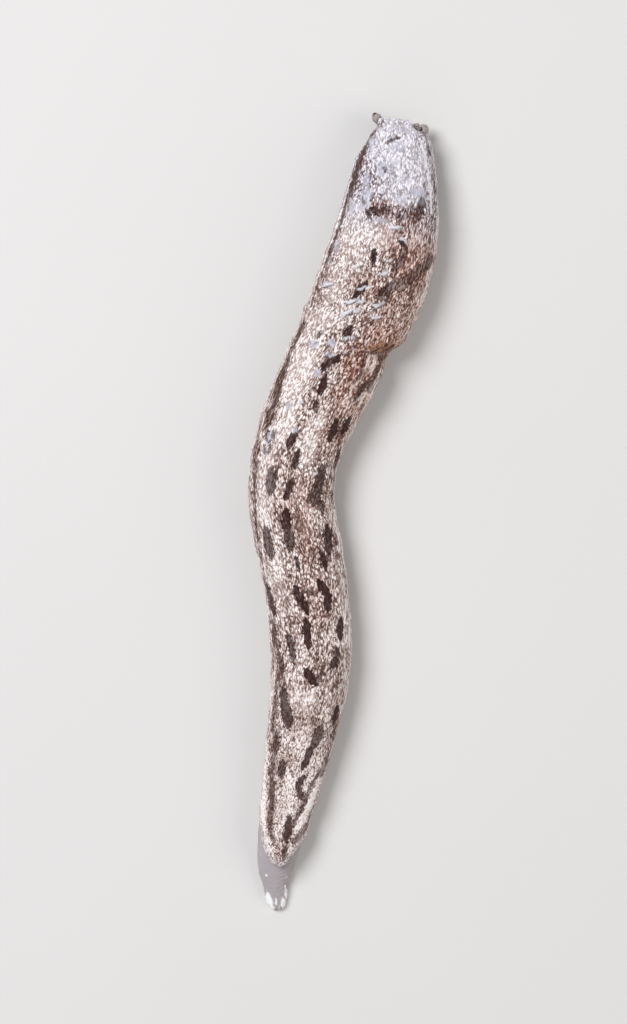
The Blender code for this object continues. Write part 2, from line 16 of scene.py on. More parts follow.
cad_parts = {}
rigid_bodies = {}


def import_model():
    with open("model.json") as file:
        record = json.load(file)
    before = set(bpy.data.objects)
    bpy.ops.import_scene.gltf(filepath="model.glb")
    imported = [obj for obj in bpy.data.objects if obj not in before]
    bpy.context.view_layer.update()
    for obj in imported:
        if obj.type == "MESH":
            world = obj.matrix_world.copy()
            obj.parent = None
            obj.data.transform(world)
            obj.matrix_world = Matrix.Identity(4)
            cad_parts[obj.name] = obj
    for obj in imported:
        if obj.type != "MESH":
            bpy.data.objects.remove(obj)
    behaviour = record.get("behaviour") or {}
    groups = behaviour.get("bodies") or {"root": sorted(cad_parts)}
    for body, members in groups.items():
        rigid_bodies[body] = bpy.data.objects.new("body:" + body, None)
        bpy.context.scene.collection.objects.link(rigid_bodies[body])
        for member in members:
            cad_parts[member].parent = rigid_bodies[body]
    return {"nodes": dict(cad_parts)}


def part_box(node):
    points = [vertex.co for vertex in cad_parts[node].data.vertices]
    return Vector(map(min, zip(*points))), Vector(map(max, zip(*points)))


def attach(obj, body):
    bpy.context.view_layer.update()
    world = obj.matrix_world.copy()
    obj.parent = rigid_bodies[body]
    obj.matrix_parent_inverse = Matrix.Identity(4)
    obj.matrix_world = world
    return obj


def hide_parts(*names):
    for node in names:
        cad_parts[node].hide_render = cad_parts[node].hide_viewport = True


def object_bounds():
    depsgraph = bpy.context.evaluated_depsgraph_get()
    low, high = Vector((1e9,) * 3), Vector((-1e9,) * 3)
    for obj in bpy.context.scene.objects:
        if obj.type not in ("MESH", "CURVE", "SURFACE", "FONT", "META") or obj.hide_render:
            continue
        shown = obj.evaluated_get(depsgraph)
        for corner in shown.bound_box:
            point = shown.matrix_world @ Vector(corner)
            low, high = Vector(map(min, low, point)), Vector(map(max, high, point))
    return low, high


bl_info = {
    "name": "Mantleslug",
    "version": (1, 0, 0),
    "blender": (4, 5, 0),
    "location": "View3D > Sidebar > Slug",
    "description": "Models a life-size mantleslug and a plain studio round it",
    "category": "Object",
}

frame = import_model()
CAD_BOX = [list(corner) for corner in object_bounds()]

MM = 0.001

# The photo's own frame: its size and middle in pixels, and the pixel over the body line's zero
PHOTO_WIDTH, PHOTO_HEIGHT = 627, 1024
PHOTO_SCALE = 0.08
PHOTO_ZERO = (343.5, 511.5)
# From the body line's zero to the frame's origin, in mm
BODY_SHIFT = (-0.003, 0.014)

# Body line seen from above, from the front of the mantle to the tip of the tail, in mm
BODY_LINE = [
    (4.52, 31.64), (3.82, 24.92), (2.54, 18.92), (0.24, 13.72), (-2.14, 8.92), (-3.84, 4.52),
    (-4.16, 0.52), (-3.32, -3.88), (-2.76, -8.28), (-2.66, -12.68), (-3.48, -18.28), (-4.68, -24.28),
    (-5.48, -29.48), (-5.24, -32.20),
]

# Sizes along the body line: (distance from the front, size), both in mm
HALF_WIDTH = [
    (0.35, 1.3), (1.0, 1.55), (1.5, 2.3), (2.2, 2.62), (3.7, 3.2), (5.5, 3.62), (9.0, 4.14), (13.0, 4.38),
    (17.0, 4.26), (21.0, 3.98), (28.0, 3.58), (44.0, 3.28), (50.5, 2.85), (56.0, 2.3), (60.0, 1.8),
    (62.7, 1.34), (63.5, 1.04), (64.3, 0.92), (64.9, 0.8), (65.3, 0.6), (65.6, 0.3),
]
RIGHT_PINCH = [
    (15.6, 0.0), (16.3, 0.02), (16.9, 0.18), (17.4, 0.36), (18.2, 0.56), (18.8, 0.53), (19.3, 0.38),
    (20.1, 0.22), (21.5, 0.1), (25.0, 0.0),
]
MANTLE_END_HALF_WIDTH = [
    (58.6, 2.05), (59.5, 1.74), (60.4, 1.39), (60.8, 1.17), (61.25, 0.9), (61.7, 0.56), (62.0, 0.17),
]
MANTLE_DRIFT = [
    (0.35, -0.36), (1.0, -0.2), (1.5, 0.16), (2.2, 0.14), (4.0, 0.0), (57.0, 0.0), (59.0, 0.12), (61.2, 0.18),
    (62.0, 0.3),
]
BACK_HEIGHT = [
    (0.35, 2.72), (0.6, 2.92), (1.5, 3.28), (4.0, 3.95), (8.0, 4.7), (13.0, 5.1), (19.0, 4.85),
    (28.0, 4.45), (44.0, 4.2), (50.0, 3.75), (55.0, 3.15), (59.0, 2.7), (61.0, 2.42), (62.0, 2.1),
]
LOWER_TOP = [
    (0.35, 1.96), (2.0, 2.08), (5.8, 2.05), (9.0, 1.7), (13.0, 1.55), (44.0, 1.5), (52.0, 1.7),
    (57.0, 1.82), (61.4, 1.66), (63.0, 1.33), (64.6, 0.86), (65.2, 0.66), (65.6, 0.46),
]
INSET = [(1.0, 0.42), (2.2, 0.85), (5.5, 0.95), (50.0, 0.9), (56.0, 0.6), (60.0, 0.2), (65.6, 0.06)]
LEDGE_HEIGHT = [(0.0, 1.0), (50.0, 1.0), (58.0, 0.8), (62.0, 0.62), (64.6, 0.42), (65.6, 0.24)]
HEAD_HALF_WIDTH = [(0.55, 1.02), (1.1, 1.22), (1.8, 1.46), (3.0, 1.96), (5.5, 2.6)]
HEAD_TOP = [(0.5, 1.4), (0.72, 1.68), (1.2, 1.92), (2.0, 2.04), (5.5, 2.05)]
MARGIN_LIFT = [(0.35, 55.0), (1.5, 46.0), (2.3, 14.0), (3.1, 0.0)]

MANTLE_START, MANTLE_END = 0.35, 62.0
FOOT_START, FOOT_END = 1.95, 65.6
HEAD_END = 5.5
# The finer mesh of the head: how far back and down it goes, and how near a form its points are moved onto it
FINE_END, FINE_FLOOR, FINE_REACH = 2.3, 0.15, 0.09
FLANK_SHARE = 0.93
MARK_SHARE = 0.965
SNOUT_START = 0.38
CHIN_HEIGHT = 0.34
CHIN_END, THROAT_END = 1.1, 1.62
HEAD_FLOOR = 1.3
MOUTH_HEIGHT = 0.62
MOUTH_HALF_WIDTH = 0.42
LIPS_HALF_WIDTH = 0.7
LIP_HEIGHT = 0.28
# How far the soft lip hangs below the solid's, and how far the foot's shoulder swells up to it
LIP_HANG = 0.16
SHOULDER_SWELL = 0.1
MANTLE_SQUARENESS = 2.25
# The gap that the solids keep between them
GAP = 0.3
# Underside of the mantle's section: share of the half width, share of the lip's height
UNDERSIDE = [
    (0.99, 0.42), (0.93, 0.0), (0.7, 0.02), (0.35, 0.1), (0.0, 0.14),
    (-0.35, 0.1), (-0.7, 0.02), (-0.93, 0.0), (-0.99, 0.42),
]
# Rings that round the mantle's front: how far forward, and their share of the first section
NOSE_RINGS = ((0.11, 0.62), (0.09, 0.8), (0.05, 0.93))
# Section of the foot's fringe from the sole's edge upwards: share of the half width, height
FRINGE = [(0.86, 0.0), (0.965, 0.03), (0.985, 0.1), (0.975, 0.24)]
SOLE_SHARE = 0.86
# Points round each section of the head, and where its sections stand between snout and hood
HEAD_STEPS = 40
HEAD_STATIONS = [0.74, 0.86, 0.98, CHIN_END, 1.2, 1.3, 1.4, 1.5, THROAT_END, 1.9, 2.5, 3.4, 4.5, HEAD_END]

# Folds that the whole back shows
WRINKLES = (13.0, 18.6)
WRINKLE_PITCH = 0.98
HOOD_WRINKLES = (0.8, 6.0)
HOOD_WRINKLE_PITCH = 1.15
CREASE_START = 18.15
CREASE_SLANT = 2.3
CREASE_WIDTH = 0.56
CREASE_SWELL = 0.12
HOOD_WRINKLE_DEPTH = 0.06
UNEVENNESS = 0.07

# Where the tail's bare skin sets in, where the speckle of the rear does, and where the hood's pale skin ends
TAIL_ONSET = (57.5, 60.0)
REAR_ONSET = (44.0, 54.0)
HOOD_FADE = (12.0, 6.5)

# Relief of the skin: pitches, depths and heights in mm
BAND_DEPTH = 0.05
LIP_WAVE_PITCH, LIP_WAVE_HEIGHT = 0.74, 0.035
RIB_PITCH, RIB_DEPTH = 0.46, 0.045
TAIL_RIDGE_PITCH = 0.36
SNOUT_FURROW_WIDTH, SNOUT_FURROW_DEPTH = 0.09, 0.05
TENTACLE_RING_PITCH, TENTACLE_RING_HEIGHT = 0.16, 0.012
PORE_DEPTH, PORE_RIM_HEIGHT = 0.34, 0.07
SLIME_THICKNESS = 0.05
EYE_FOLD_WIDTH, EYE_FOLD_HEIGHT = 0.06, 0.06

# Upper tentacles: root (along, across, height), way (forward, right, up), length and bulb radius
UPPER_TENTACLES = {
    "left": ((0.9, -1.4, 1.28), (0.8, -0.57, 0.1), 1.14, 0.41),
    "right": ((1.06, 1.4, 1.28), (0.28, 0.9, 0.24), 1.06, 0.46),
}
UPPER_ROOT_RADIUS = 0.3
LOWER_TENTACLE_ROOT = (0.66, 1.2, 0.68)
LOWER_TENTACLE_WAY = (0.42, 0.88, -0.12)
LOWER_RADIUS, LOWER_LENGTH = 0.25, 0.5

# Breathing pore, on the right flank of the hood: along, height, and its half length and half height
PORE = (3.3, 1.95, 0.4, 0.14)

# Marks on the mantle, each a stroke between two places in the photo, in its pixels:
# from x, y, to x, y, the stroke's width and how dark it is from 0 to 1
BLOTCHES = [
    (387, 144, 393, 141, 3.0, 0.8), (394, 140, 398, 139, 2.4, 0.7), (384, 171, 385, 173, 3.4, 1.0),
    (370, 209, 377, 216, 3.6, 1.0), (377, 212, 386, 213, 7.0, 0.55), (363, 201, 364, 204, 3.2, 0.8),
    (366, 213, 371, 222, 3.0, 0.8), (387, 209, 389, 213, 3.5, 0.7), (421, 203, 419, 217, 8.0, 0.7),
    (412, 207, 415, 221, 6.0, 0.5), (401, 210, 411, 222, 4.0, 0.4), (396, 216, 401, 220, 4.5, 0.6),
    (401, 244, 405, 248, 4.4, 0.95), (404, 250, 402, 262, 6.0, 0.6), (401, 262, 394, 270, 7.0, 0.6),
    (374, 253, 372.5, 264, 5.0, 1.0), (431, 260, 424, 269, 8.0, 0.7), (424, 268, 412, 278, 10.0, 0.55),
    (412, 279, 396, 289, 10.0, 0.55), (364, 286, 355, 297, 6.5, 0.95), (391, 287, 378, 298, 8.0, 0.7),
    (384, 303, 372, 312, 5.0, 0.4), (349, 329, 345, 338, 6.0, 1.0), (320, 334, 317, 338, 3.0, 0.7),
    (338, 359, 328, 364, 6.5, 0.9), (328, 361, 324, 370, 6.5, 1.0), (325, 380, 320, 393, 6.5, 1.0),
    (316, 402, 315, 411, 4.0, 0.8), (337, 423, 330, 441, 6.0, 1.0), (349, 420, 343, 433, 4.6, 0.95),
    (295, 436, 289, 445, 7.0, 0.9), (298, 453, 295, 466, 6.0, 0.9), (341, 450, 336.5, 468, 5.0, 1.0),
    (267.5, 430, 266.5, 439, 1.6, 0.8), (273.5, 431, 273, 439, 1.6, 0.7),
    (267, 441, 272.5, 442, 1.8, 0.8), (265, 445, 264.5, 453, 1.6, 0.7), (270, 445, 269.5, 452, 1.6, 0.7),
    (272.5, 472, 271.5, 490, 10.0, 0.74), (292, 481, 287, 497, 7.0, 0.9), (322, 469, 319, 486, 8.0, 0.75),
    (318, 486, 315, 501, 11.0, 0.76), (321, 502, 323, 512, 4.6, 0.7), (310, 496, 309, 503, 3.0, 0.7),
    (325, 466, 324, 472, 4.0, 0.6), (286.5, 513, 286.5, 528, 9.5, 0.95),
    (288, 530, 290.5, 546, 10.5, 0.8), (266, 530, 270.5, 555, 8.5, 0.76), (328, 528, 329, 550, 7.6, 0.85),
    (297.5, 511, 300, 527, 5.0, 0.4), (300, 530, 300, 545, 8.0, 0.3), (321, 552, 325.5, 567, 5.5, 0.9),
    (297, 558, 298.5, 569, 3.6, 0.8), (312, 552, 314, 563, 4.0, 0.5), (295, 588, 307, 611, 6.5, 0.95),
    (307, 590, 316, 594, 5.0, 0.55), (320, 583, 328, 595, 8.0, 1.0), (328, 595, 328, 608, 7.5, 0.95),
    (306, 622, 308, 645, 7.5, 1.0), (341, 619, 340.5, 636, 5.8, 0.95), (288.5, 636, 293, 658, 5.6, 0.78),
    (266.5, 586, 274, 613, 5.0, 0.85), (272, 623, 275.5, 646, 4.0, 0.6), (337, 648, 337, 657, 5.0, 0.8),
    (337, 657, 333, 666, 6.0, 0.9), (306.5, 671, 314, 681, 8.5, 1.0), (322, 672, 316, 682, 4.6, 0.7),
    (283, 690, 284, 706, 8.0, 0.8), (286, 706, 288, 723, 10.5, 0.8), (337, 708, 333.5, 722, 5.0, 0.95),
    (321, 728, 314, 744, 9.0, 0.75), (313, 745, 303, 766, 6.5, 0.85), (277.5, 733, 275.5, 749, 8.0, 0.5),
    (282.5, 762, 281.5, 774, 7.0, 0.75), (303, 777, 298, 785, 5.4, 0.85), (298, 785, 301, 797, 5.4, 0.85),
    (289.6, 818, 286.4, 840, 7.4, 0.85), (286, 847, 284, 858, 4.6, 0.7), (279, 655, 281.5, 668, 3.6, 0.6),
]

# Dark bands inside the pale margins, partly the skin's own banding and partly painted shade on the hood's
# flanks and in the groove inside the margin, as the places they run through: x, y, width
BANDS = [
    [(376, 121, 3), (367.5, 137, 6), (362.5, 152, 7), (354.3, 176, 6.6), (347.2, 198, 4.6), (340, 222, 4),
     (331.4, 246, 3.6), (326.6, 262, 3.2), (321.5, 270, 3), (315.5, 288, 3), (311, 305, 2.8)],
    [(305, 322, 3), (298, 334, 4), (288, 356, 5), (283, 371, 5.6), (277.5, 391, 7), (271.5, 412, 8.5),
     (267, 425, 6)],
    [(257, 447, 2.6), (254.5, 470, 3), (254.5, 500, 2.6), (256, 520, 2.2), (261, 560, 2), (265, 590, 2)],
    [(269, 618, 4), (273.6, 634, 4.6), (276.6, 646, 3.4)],
    [(278, 652, 4), (281, 668, 4.6), (283, 684, 3)],
    [(279, 671, 3), (277, 686, 3.4), (274, 705, 3.4), (272, 730, 3)],
    [(276, 738, 5), (274, 751, 6.4), (271, 771, 7), (272, 795, 7), (271, 811, 6.4), (270, 827, 5.4),
     (274, 843, 4.6)],
    [(427, 146, 2.2), (430, 156, 2.4)], [(434.5, 182, 1.8), (436, 196, 2)],
    [(341, 492, 3), (338.5, 508, 3)], [(345, 562, 3), (347.5, 578, 3.4), (349, 592, 2.6)],
    [(336, 722, 3), (332, 748, 4.6), (323, 769, 5.4), (312, 785, 5.4), (306, 798, 5.4), (300.6, 811, 5),
     (294, 822, 5), (288.6, 836, 4)],
    [(314, 806, 2.6), (309, 824, 4), (301, 835, 7), (294.5, 842, 6)],
]

# Small folds of the skin, as strokes: from x, y, to x, y, width, height in mm
FOLDS = [
    (344, 305, 363, 302, 2.8, 0.14), (340, 317, 361, 310.5, 2.8, 0.13),
    (371, 306.5, 385, 304.5, 2.6, 0.12), (355, 291.5, 370, 287.5, 2.4, 0.11),
    (391, 230, 401, 228, 2.6, 0.08), (397, 244, 407, 243, 2.4, 0.09), (384, 262.5, 393, 262, 2.2, 0.09),
    (380, 277, 389, 274, 2.4, 0.1), (370, 316.5, 379, 319.5, 2.2, 0.08),
    (354, 268.5, 362, 266, 2.2, 0.08), (322, 287, 335, 284, 3.0, 0.1), (360, 329, 376, 324, 2.6, 0.07),
    (369, 358, 353, 388, 5.0, 0.2), (399, 343, 376, 354, 3.0, 0.16), (398, 338, 372, 350, 3.0, 0.08),
    (382, 364, 362, 404, 3.0, 0.12), (287, 871, 291, 869, 1.8, 0.05), (286.5, 877, 290.5, 875, 1.8, 0.05),
    (285.5, 883, 289.5, 881, 1.8, 0.05), (284.5, 889, 288.5, 887, 1.8, 0.05),
]

# Where smooth films of water lie over the skin, their colour a painted reflection of the sky: x, y, half
# width, half length in pixels and strength
FILM_AND_SHEEN_SPOTS = [
    (397, 148, 10, 6, 0.8), (412, 133, 9, 5, 0.6), (400, 131, 12, 4, 0.6), (382, 171, 7, 9, 0.9),
    (392, 166, 7, 9, 0.5), (366, 180, 4, 10, 0.8), (366, 200, 5.5, 14, 0.95), (361, 209, 4, 6, 0.7),
    (378, 222, 9, 3.4, 0.8), (400, 202, 8, 5, 0.6), (417, 194, 8, 5, 0.9), (424, 200, 3, 6, 0.7),
    (352, 208, 4, 7, 0.8), (396, 230, 7, 3, 0.8), (336, 248, 5, 9, 0.6), (404, 180, 7, 6, 0.4),
    (372, 146, 4, 8, 0.4), (330, 262, 4, 5, 0.6), (314, 345, 6, 5, 0.9), (332, 344.6, 4.8, 5.2, 1.1),
    (329.5, 356, 5, 2.8, 1.1), (317, 374, 5, 4, 0.9), (301, 403, 2, 3, 0.8), (289, 406, 3, 6, 0.7),
    (269, 438, 3, 8, 0.9), (266, 450, 2.4, 5, 0.8), (294, 432, 4, 4, 0.8), (328, 286, 7, 3, 0.9),
    (345.6, 318, 2.2, 1.6, 0.9), (353, 339, 3, 2, 0.9), (348, 328, 1.6, 1.6, 0.6),
    (346, 353.5, 2, 2, 0.8), (383.7, 299, 1.6, 1.4, 1.2), (352.6, 350, 1.6, 1.6, 0.8),
]

# Wet crests of folds that mirror the sky, as the places they run through: x, y, width
GLINTS = [
    [(344.7, 303.2, 1.4), (348.7, 304.3, 3.0), (352.4, 302.2, 2.6), (356.7, 301.6, 1.0)],
    [(356.5, 304.4, 1.4), (360.2, 303.4, 2.6), (363.6, 301.4, 1.0)],
    [(340.1, 319.0, 1.0), (345.2, 315.4, 2.8), (349.8, 312.2, 3.0), (353.0, 310.6, 1.2)],
    [(353.2, 313.0, 1.2), (356.7, 313.0, 2.4), (360.2, 310.6, 1.0)],
    [(371.8, 306.4, 1.6), (375.4, 307.4, 2.8), (380.6, 306.0, 1.8), (383.7, 304.3, 0.9)],
    [(369.3, 315.4, 1.2), (371.6, 318.9, 1.6), (376.2, 319.4, 2.0), (379.2, 318.0, 0.9)],
    [(357.0, 290.9, 1.2), (360.7, 291.1, 2.4), (364.4, 288.2, 0.9)],
    [(365.7, 290.4, 1.6), (370.0, 288.2, 0.9)],
    [(342.4, 340.4, 1.6), (345.8, 340.0, 1.8), (348.1, 337.8, 0.8)],
    [(380.0, 276.8, 1.4), (383.4, 275.8, 2.0), (387.4, 273.6, 0.9)],
    [(385.0, 262.6, 1.4), (389.0, 262.8, 1.8), (392.4, 261.6, 0.9)],
    [(355.0, 268.4, 1.4), (361.2, 265.8, 1.6)],
    [(399.6, 240.0, 1.4), (403.6, 241.6, 1.8), (406.6, 246.0, 0.9)],
    [(391.0, 229.6, 1.6), (396.0, 229.8, 2.6), (401.0, 228.4, 1.0)],
    [(321.6, 287.2, 1.2), (327.0, 285.8, 2.6), (333.6, 284.4, 1.0)],
]

# White mucus round the tip of the tail, partly painted glare on the wet tip: x, y, half width and half length
# in pixels and, if given, strength
SLIME_AND_GLARE_SPOTS = [
    (268.5, 903.5, 4.4, 10), (270, 911, 4.6, 5), (286, 894, 1.6, 9, 0.8), (283.5, 906, 3, 6.6),
    (277.5, 914, 4, 2.4, 0.8), (266.2, 876, 1.4, 1.4), (276, 903, 1.2, 5, 0.5), (279, 909, 1.2, 4, 0.6),
    (287, 878, 1.2, 4, 0.3),
]

# Where the mantle is drawn paler, partly its own paler skin and partly painted highlight where the wet back
# catches the light, and where it is warmer: x, y, half width, half length, strength
PALER = [
    (396, 150, 30, 36, 0.9), (402, 190, 27, 20, 0.9), (385, 128, 12, 12, 1.2), (417, 170, 12, 30, 1.1),
    (430, 160, 8, 40, 0.7), (352, 235, 14, 46, 0.8), (335, 285, 14, 34, 0.6), (317, 325, 14, 34, 0.8),
    (300, 372, 14, 42, 1.0), (287, 420, 12, 30, 0.8), (376, 235, 22, 20, 0.8), (352, 262, 16, 24, 0.55),
    (335, 318, 18, 18, 0.5), (264, 480, 10, 54, 0.8), (275, 575, 12, 50, 0.6), (303, 650, 8, 20, 0.35),
    (300, 700, 20, 14, 0.6), (290, 800, 14, 34, 0.7), (314, 790, 10, 30, 0.7), (300, 835, 10, 22, 0.7),
    (266, 800, 6, 64, 0.8), (345, 620, 6, 64, 0.6), (400, 126, 26, 12, 1.0), (430, 300, 9, 34, 0.6),
    (310, 440, 12, 40, 0.7), (300, 510, 20, 40, 0.3), (420, 235, 10, 16, 0.3), (345, 555, 5, 40, 0.5),
    (300, 755, 10, 26, 0.5), (270, 700, 5, 40, 0.5),
]
WARMER = [
    (405, 235, 30, 26, 0.7), (415, 262, 22, 30, 0.9), (405, 310, 24, 34, 0.6), (385, 345, 26, 24, 1.0),
    (362, 365, 22, 26, 1.0), (350, 400, 20, 26, 0.8), (333, 440, 16, 30, 0.5), (385, 210, 24, 10, 0.8),
    (372, 290, 24, 12, 0.5), (300, 500, 30, 30, 0.35), (305, 535, 12, 40, 0.5), (318, 600, 20, 30, 0.3),
]
# Where it is darker and browner, partly its own tone and partly painted shade on the hood's flanks, the left
# shoulder and under the fold: x, y, half width, half length, strength
DARKER = [
    (368, 138, 6, 14, 0.6), (361, 158, 7, 18, 0.7), (353, 184, 5.6, 20, 0.6), (345.5, 210, 4.4, 16, 0.5),
    (328, 290, 18, 22, 0.45), (345, 275, 12, 12, 0.4), (430, 146, 2.4, 14, 0.5),
    (433.4, 170, 2.6, 20, 0.5), (435.6, 205, 2.6, 24, 0.4), (398, 150, 14, 4, 0.5),
    (412, 176, 10, 5, 0.5), (392, 178, 5, 14, 0.4), (405, 198, 10, 4, 0.5), (376, 215, 14, 8, 0.5),
    (404, 222, 22, 12, 0.5), (389, 245, 16, 22, 0.5), (409, 283, 18, 12, 0.5), (358, 296, 9, 9, 0.6),
    (383, 297, 12, 14, 0.5), (360, 366, 8, 20, 0.9), (350, 386, 7, 16, 0.7), (338, 432, 9, 14, 0.5),
    (322, 484, 12, 24, 0.5), (302, 530, 7, 30, 0.5), (318, 560, 14, 16, 0.5), (304, 600, 12, 20, 0.4),
    (283, 800, 6, 16, 0.3), (275, 790, 7, 40, 0.4),
]
# Painted highlights: pale strokes for the light caught by ridges beside the fold and along the margins, in
# colour only: x, y, width
RIDGE_HIGHLIGHTS = [
    [(369, 357, 3.0), (367, 366, 4.4), (362.5, 374, 3.2), (357, 382, 2.8), (352, 389, 2.4),
     (347, 404, 2.0)],
    [(375, 356, 1.6), (374, 364, 3.0), (370, 373, 1.6)],
    [(377.4, 355.5, 1.0), (375.6, 364, 1.2), (371, 376, 1.0)],
    [(382, 365, 1.4), (378.4, 376.7, 3.0), (373.7, 384, 1.8), (369.7, 389.5, 2.0), (364, 395.6, 1.8),
     (358.2, 408, 1.6)],
    [(386, 363, 1.4), (382.4, 376.7, 1.4), (375, 389, 1.6), (369, 402, 1.6), (362, 413, 1.4)],
    [(363, 394, 0.9), (354, 404, 0.9)], [(412, 327, 2.0), (403, 338, 2.0)],
    [(350, 180, 1.2), (343, 198, 1.8), (336.4, 222, 2.0), (328.8, 246, 2.0), (323, 262, 1.8),
     (316, 282, 1.4), (309, 304, 1.2)],
    [(438, 222, 1.6), (438, 262, 1.4)], [(436, 262, 1.6), (428, 300, 1.8), (415, 325, 1.4)],
    [(337, 505, 1.8), (343, 560, 1.8)], [(346, 575, 1.8), (350, 640, 1.8)],
    [(265, 742, 2.4), (263.6, 765, 4), (262.6, 795, 4.6), (263.6, 825, 4), (267, 842, 2.4)],
    [(325, 763, 1.4), (318, 783, 2), (312, 800, 4), (304, 816, 5.6), (297, 828, 4)],
    [(420, 140, 1.4), (424.6, 155, 2.2), (428, 172, 2.2), (430.4, 195, 1.8), (431, 214, 1.2)],
]
# Orange-brown streaks where the fold's skin is stretched thin
STREAKS = [
    [(370, 349.5, 3.2), (377, 347.5, 3.6), (384, 344, 2.0)],
    [(370, 353.5, 1.6), (377, 351.4, 2.0), (385, 347.6, 1.4)],
    [(374, 354.4, 1.2), (380.6, 350.4, 1.8), (388, 347.6, 1.4), (394, 344.4, 1.0)],
    [(379.4, 356.2, 1.6), (384, 353.4, 2.4), (390, 349.8, 2.4), (396, 346.0, 2.4), (402.4, 341.4, 1.4)],
]
# Deep shade under the fold and beside the light ridge
CLEFTS = [
    [(367.9, 355.6, 1.2), (372.5, 353.4, 1.7), (377.1, 350.6, 1.2), (381.7, 348.2, 1.2),
     (386.3, 346.4, 1.2), (391, 344.4, 0.8)],
    [(372.5, 355.2, 1.2), (379.4, 353.1, 1.4), (384.0, 350.8, 1.2), (388.6, 348.6, 1.3),
     (393.2, 345.8, 0.9)],
    [(377.1, 357.0, 1.0), (381.7, 354.6, 1.1), (386.3, 351.8, 1.1)],
    [(378.8, 358.4, 2.2), (382.6, 357.2, 3.0), (386.6, 354.9, 2.8), (389.6, 352.6, 1.6),
     (396, 348.6, 0.9)],
    [(383.4, 358, 2.6), (381, 364, 2.2), (377, 371, 2.4), (373.4, 380, 2.2), (369.4, 387, 1.8),
     (366.6, 393, 1.6)],
    [(377.4, 366.5, 1.1), (372.5, 375.5, 1.3), (368, 385.3, 1.2)],
    [(372.4, 381, 1.6), (366.4, 385, 3.6), (361.6, 389, 6.0), (358, 396, 5.4), (354.6, 402, 2.0)],
    [(366.6, 348.5, 1.6), (365.6, 354, 1.8), (363.2, 359, 2.0), (362.2, 370, 2.6), (359.2, 377.6, 2.6),
     (353, 384.4, 1.6)],
    [(331, 354, 1.6), (322, 360, 1.6)], [(317, 343, 1.0), (311, 348, 1.0)],
    [(346, 316.6, 1.2), (352, 315.8, 1.2)],
]

# Noises of the skin: grains to a millimetre across, along and up, then detail, roughness and distortion
NOISES = {
    "worm": ((4.7, 1.8, 4.7), 1.0, 0.5, 0.7), "speck": ((10.0, 4.0, 10.0), 1.0, 0.5, 0.0),
    "dots": ((9.0, 4.4, 9.0), 1.5, 0.6, 0.0), "deep": ((7.0, 3.0, 7.0), 2.0, 0.6, 0.0),
    "edge": ((4.0, 2.0, 4.0), 3.0, 0.7, 0.6), "patch": ((0.9, 0.4, 0.9), 2.0, 0.6, 0.0),
    "worn": ((2.4, 1.1, 2.4), 2.0, 0.6, 0.0),
}
BROAD_NOISES = ("patch", "worn")
GRAINS, LONG_GRAINS = (6.0, 2.5, 6.0), (6.0, 0.9, 6.0)
SWAY, SWAY_REACH = (1.6, 0.8, 1.6), 0.2

# Studio lamps: place, width, power and tone
LAMPS = {
    "sky": ((-0.24, 0.17, 0.38), 0.26, 2.05, (0.95, 0.97, 1.0)),
    "fill": ((0.42, -0.1, 0.3), 0.4, 0.85, (1.0, 0.96, 0.91)),
    "rim": ((-0.1, -0.5, 0.22), 0.3, 0.3, (1.0, 1.0, 1.0)),
}
WORLD_TONE, WORLD_STRENGTH = (0.93, 0.95, 1.0, 1.0), 0.32
# Height in mm of the level that the camera frames as the photo does
FRAMED_HEIGHT = 1.8

# How far a mark's pointed ends run past its stroke, as a share of its width
MARK_POINT = 0.42
# How far inside the solids' box the skin stays, in mm
BOX_MARGIN = 2e-5

HEAD_PARTS = ("head", "upper_tentacles", "lower_tentacles")
FLESH_NODES = [name for name in frame["nodes"] if not name.startswith("eye_")]
EYE_NODES = [name for name in frame["nodes"] if name.startswith("eye_")]


def colour(name, description, default):
    return bpy.props.FloatVectorProperty(
        name=name, description=description, default=default, subtype="COLOR", size=3, min=0.0, max=1.0)


def size(name, description, default, low=0.0, high=10.0):
    return bpy.props.FloatProperty(name=name, description=description, default=default, min=low, max=high)


class SlugSizes(bpy.types.PropertyGroup):
    """Sizes of the skin's relief and of the studio."""

    grain: size("Grain", "Edge of the even mesh that the skin is worked on, in mm", 0.09, 0.08, 0.5)
    triangles: bpy.props.IntProperty(
        name="Triangles", description="How many triangles the finished skin keeps", default=190000, min=10000)
    tubercle_width: size("Tubercle width", "Width of a tubercle across the body, in mm", 0.27)
    tubercle_length: size("Tubercle length", "Length of a tubercle along the body, in mm", 0.62)
    tubercle_height: size("Tubercle height", "Depth of the furrows between tubercles, in mm", 0.075)
    wrinkle_depth: size("Wrinkle depth", "Depth of the wrinkles across the back, in mm", 0.11)
    crease_depth: size("Crease depth", "Depth of the fold on the right side, in mm", 0.46)
    camera_height: size("Camera height", "Height of the camera above the floor, in mm", 400.0, 50.0, 2000.0)
    floor_radius: size("Floor radius", "Radius of the floor, in mm", 2500.0, 100.0, 10000.0)


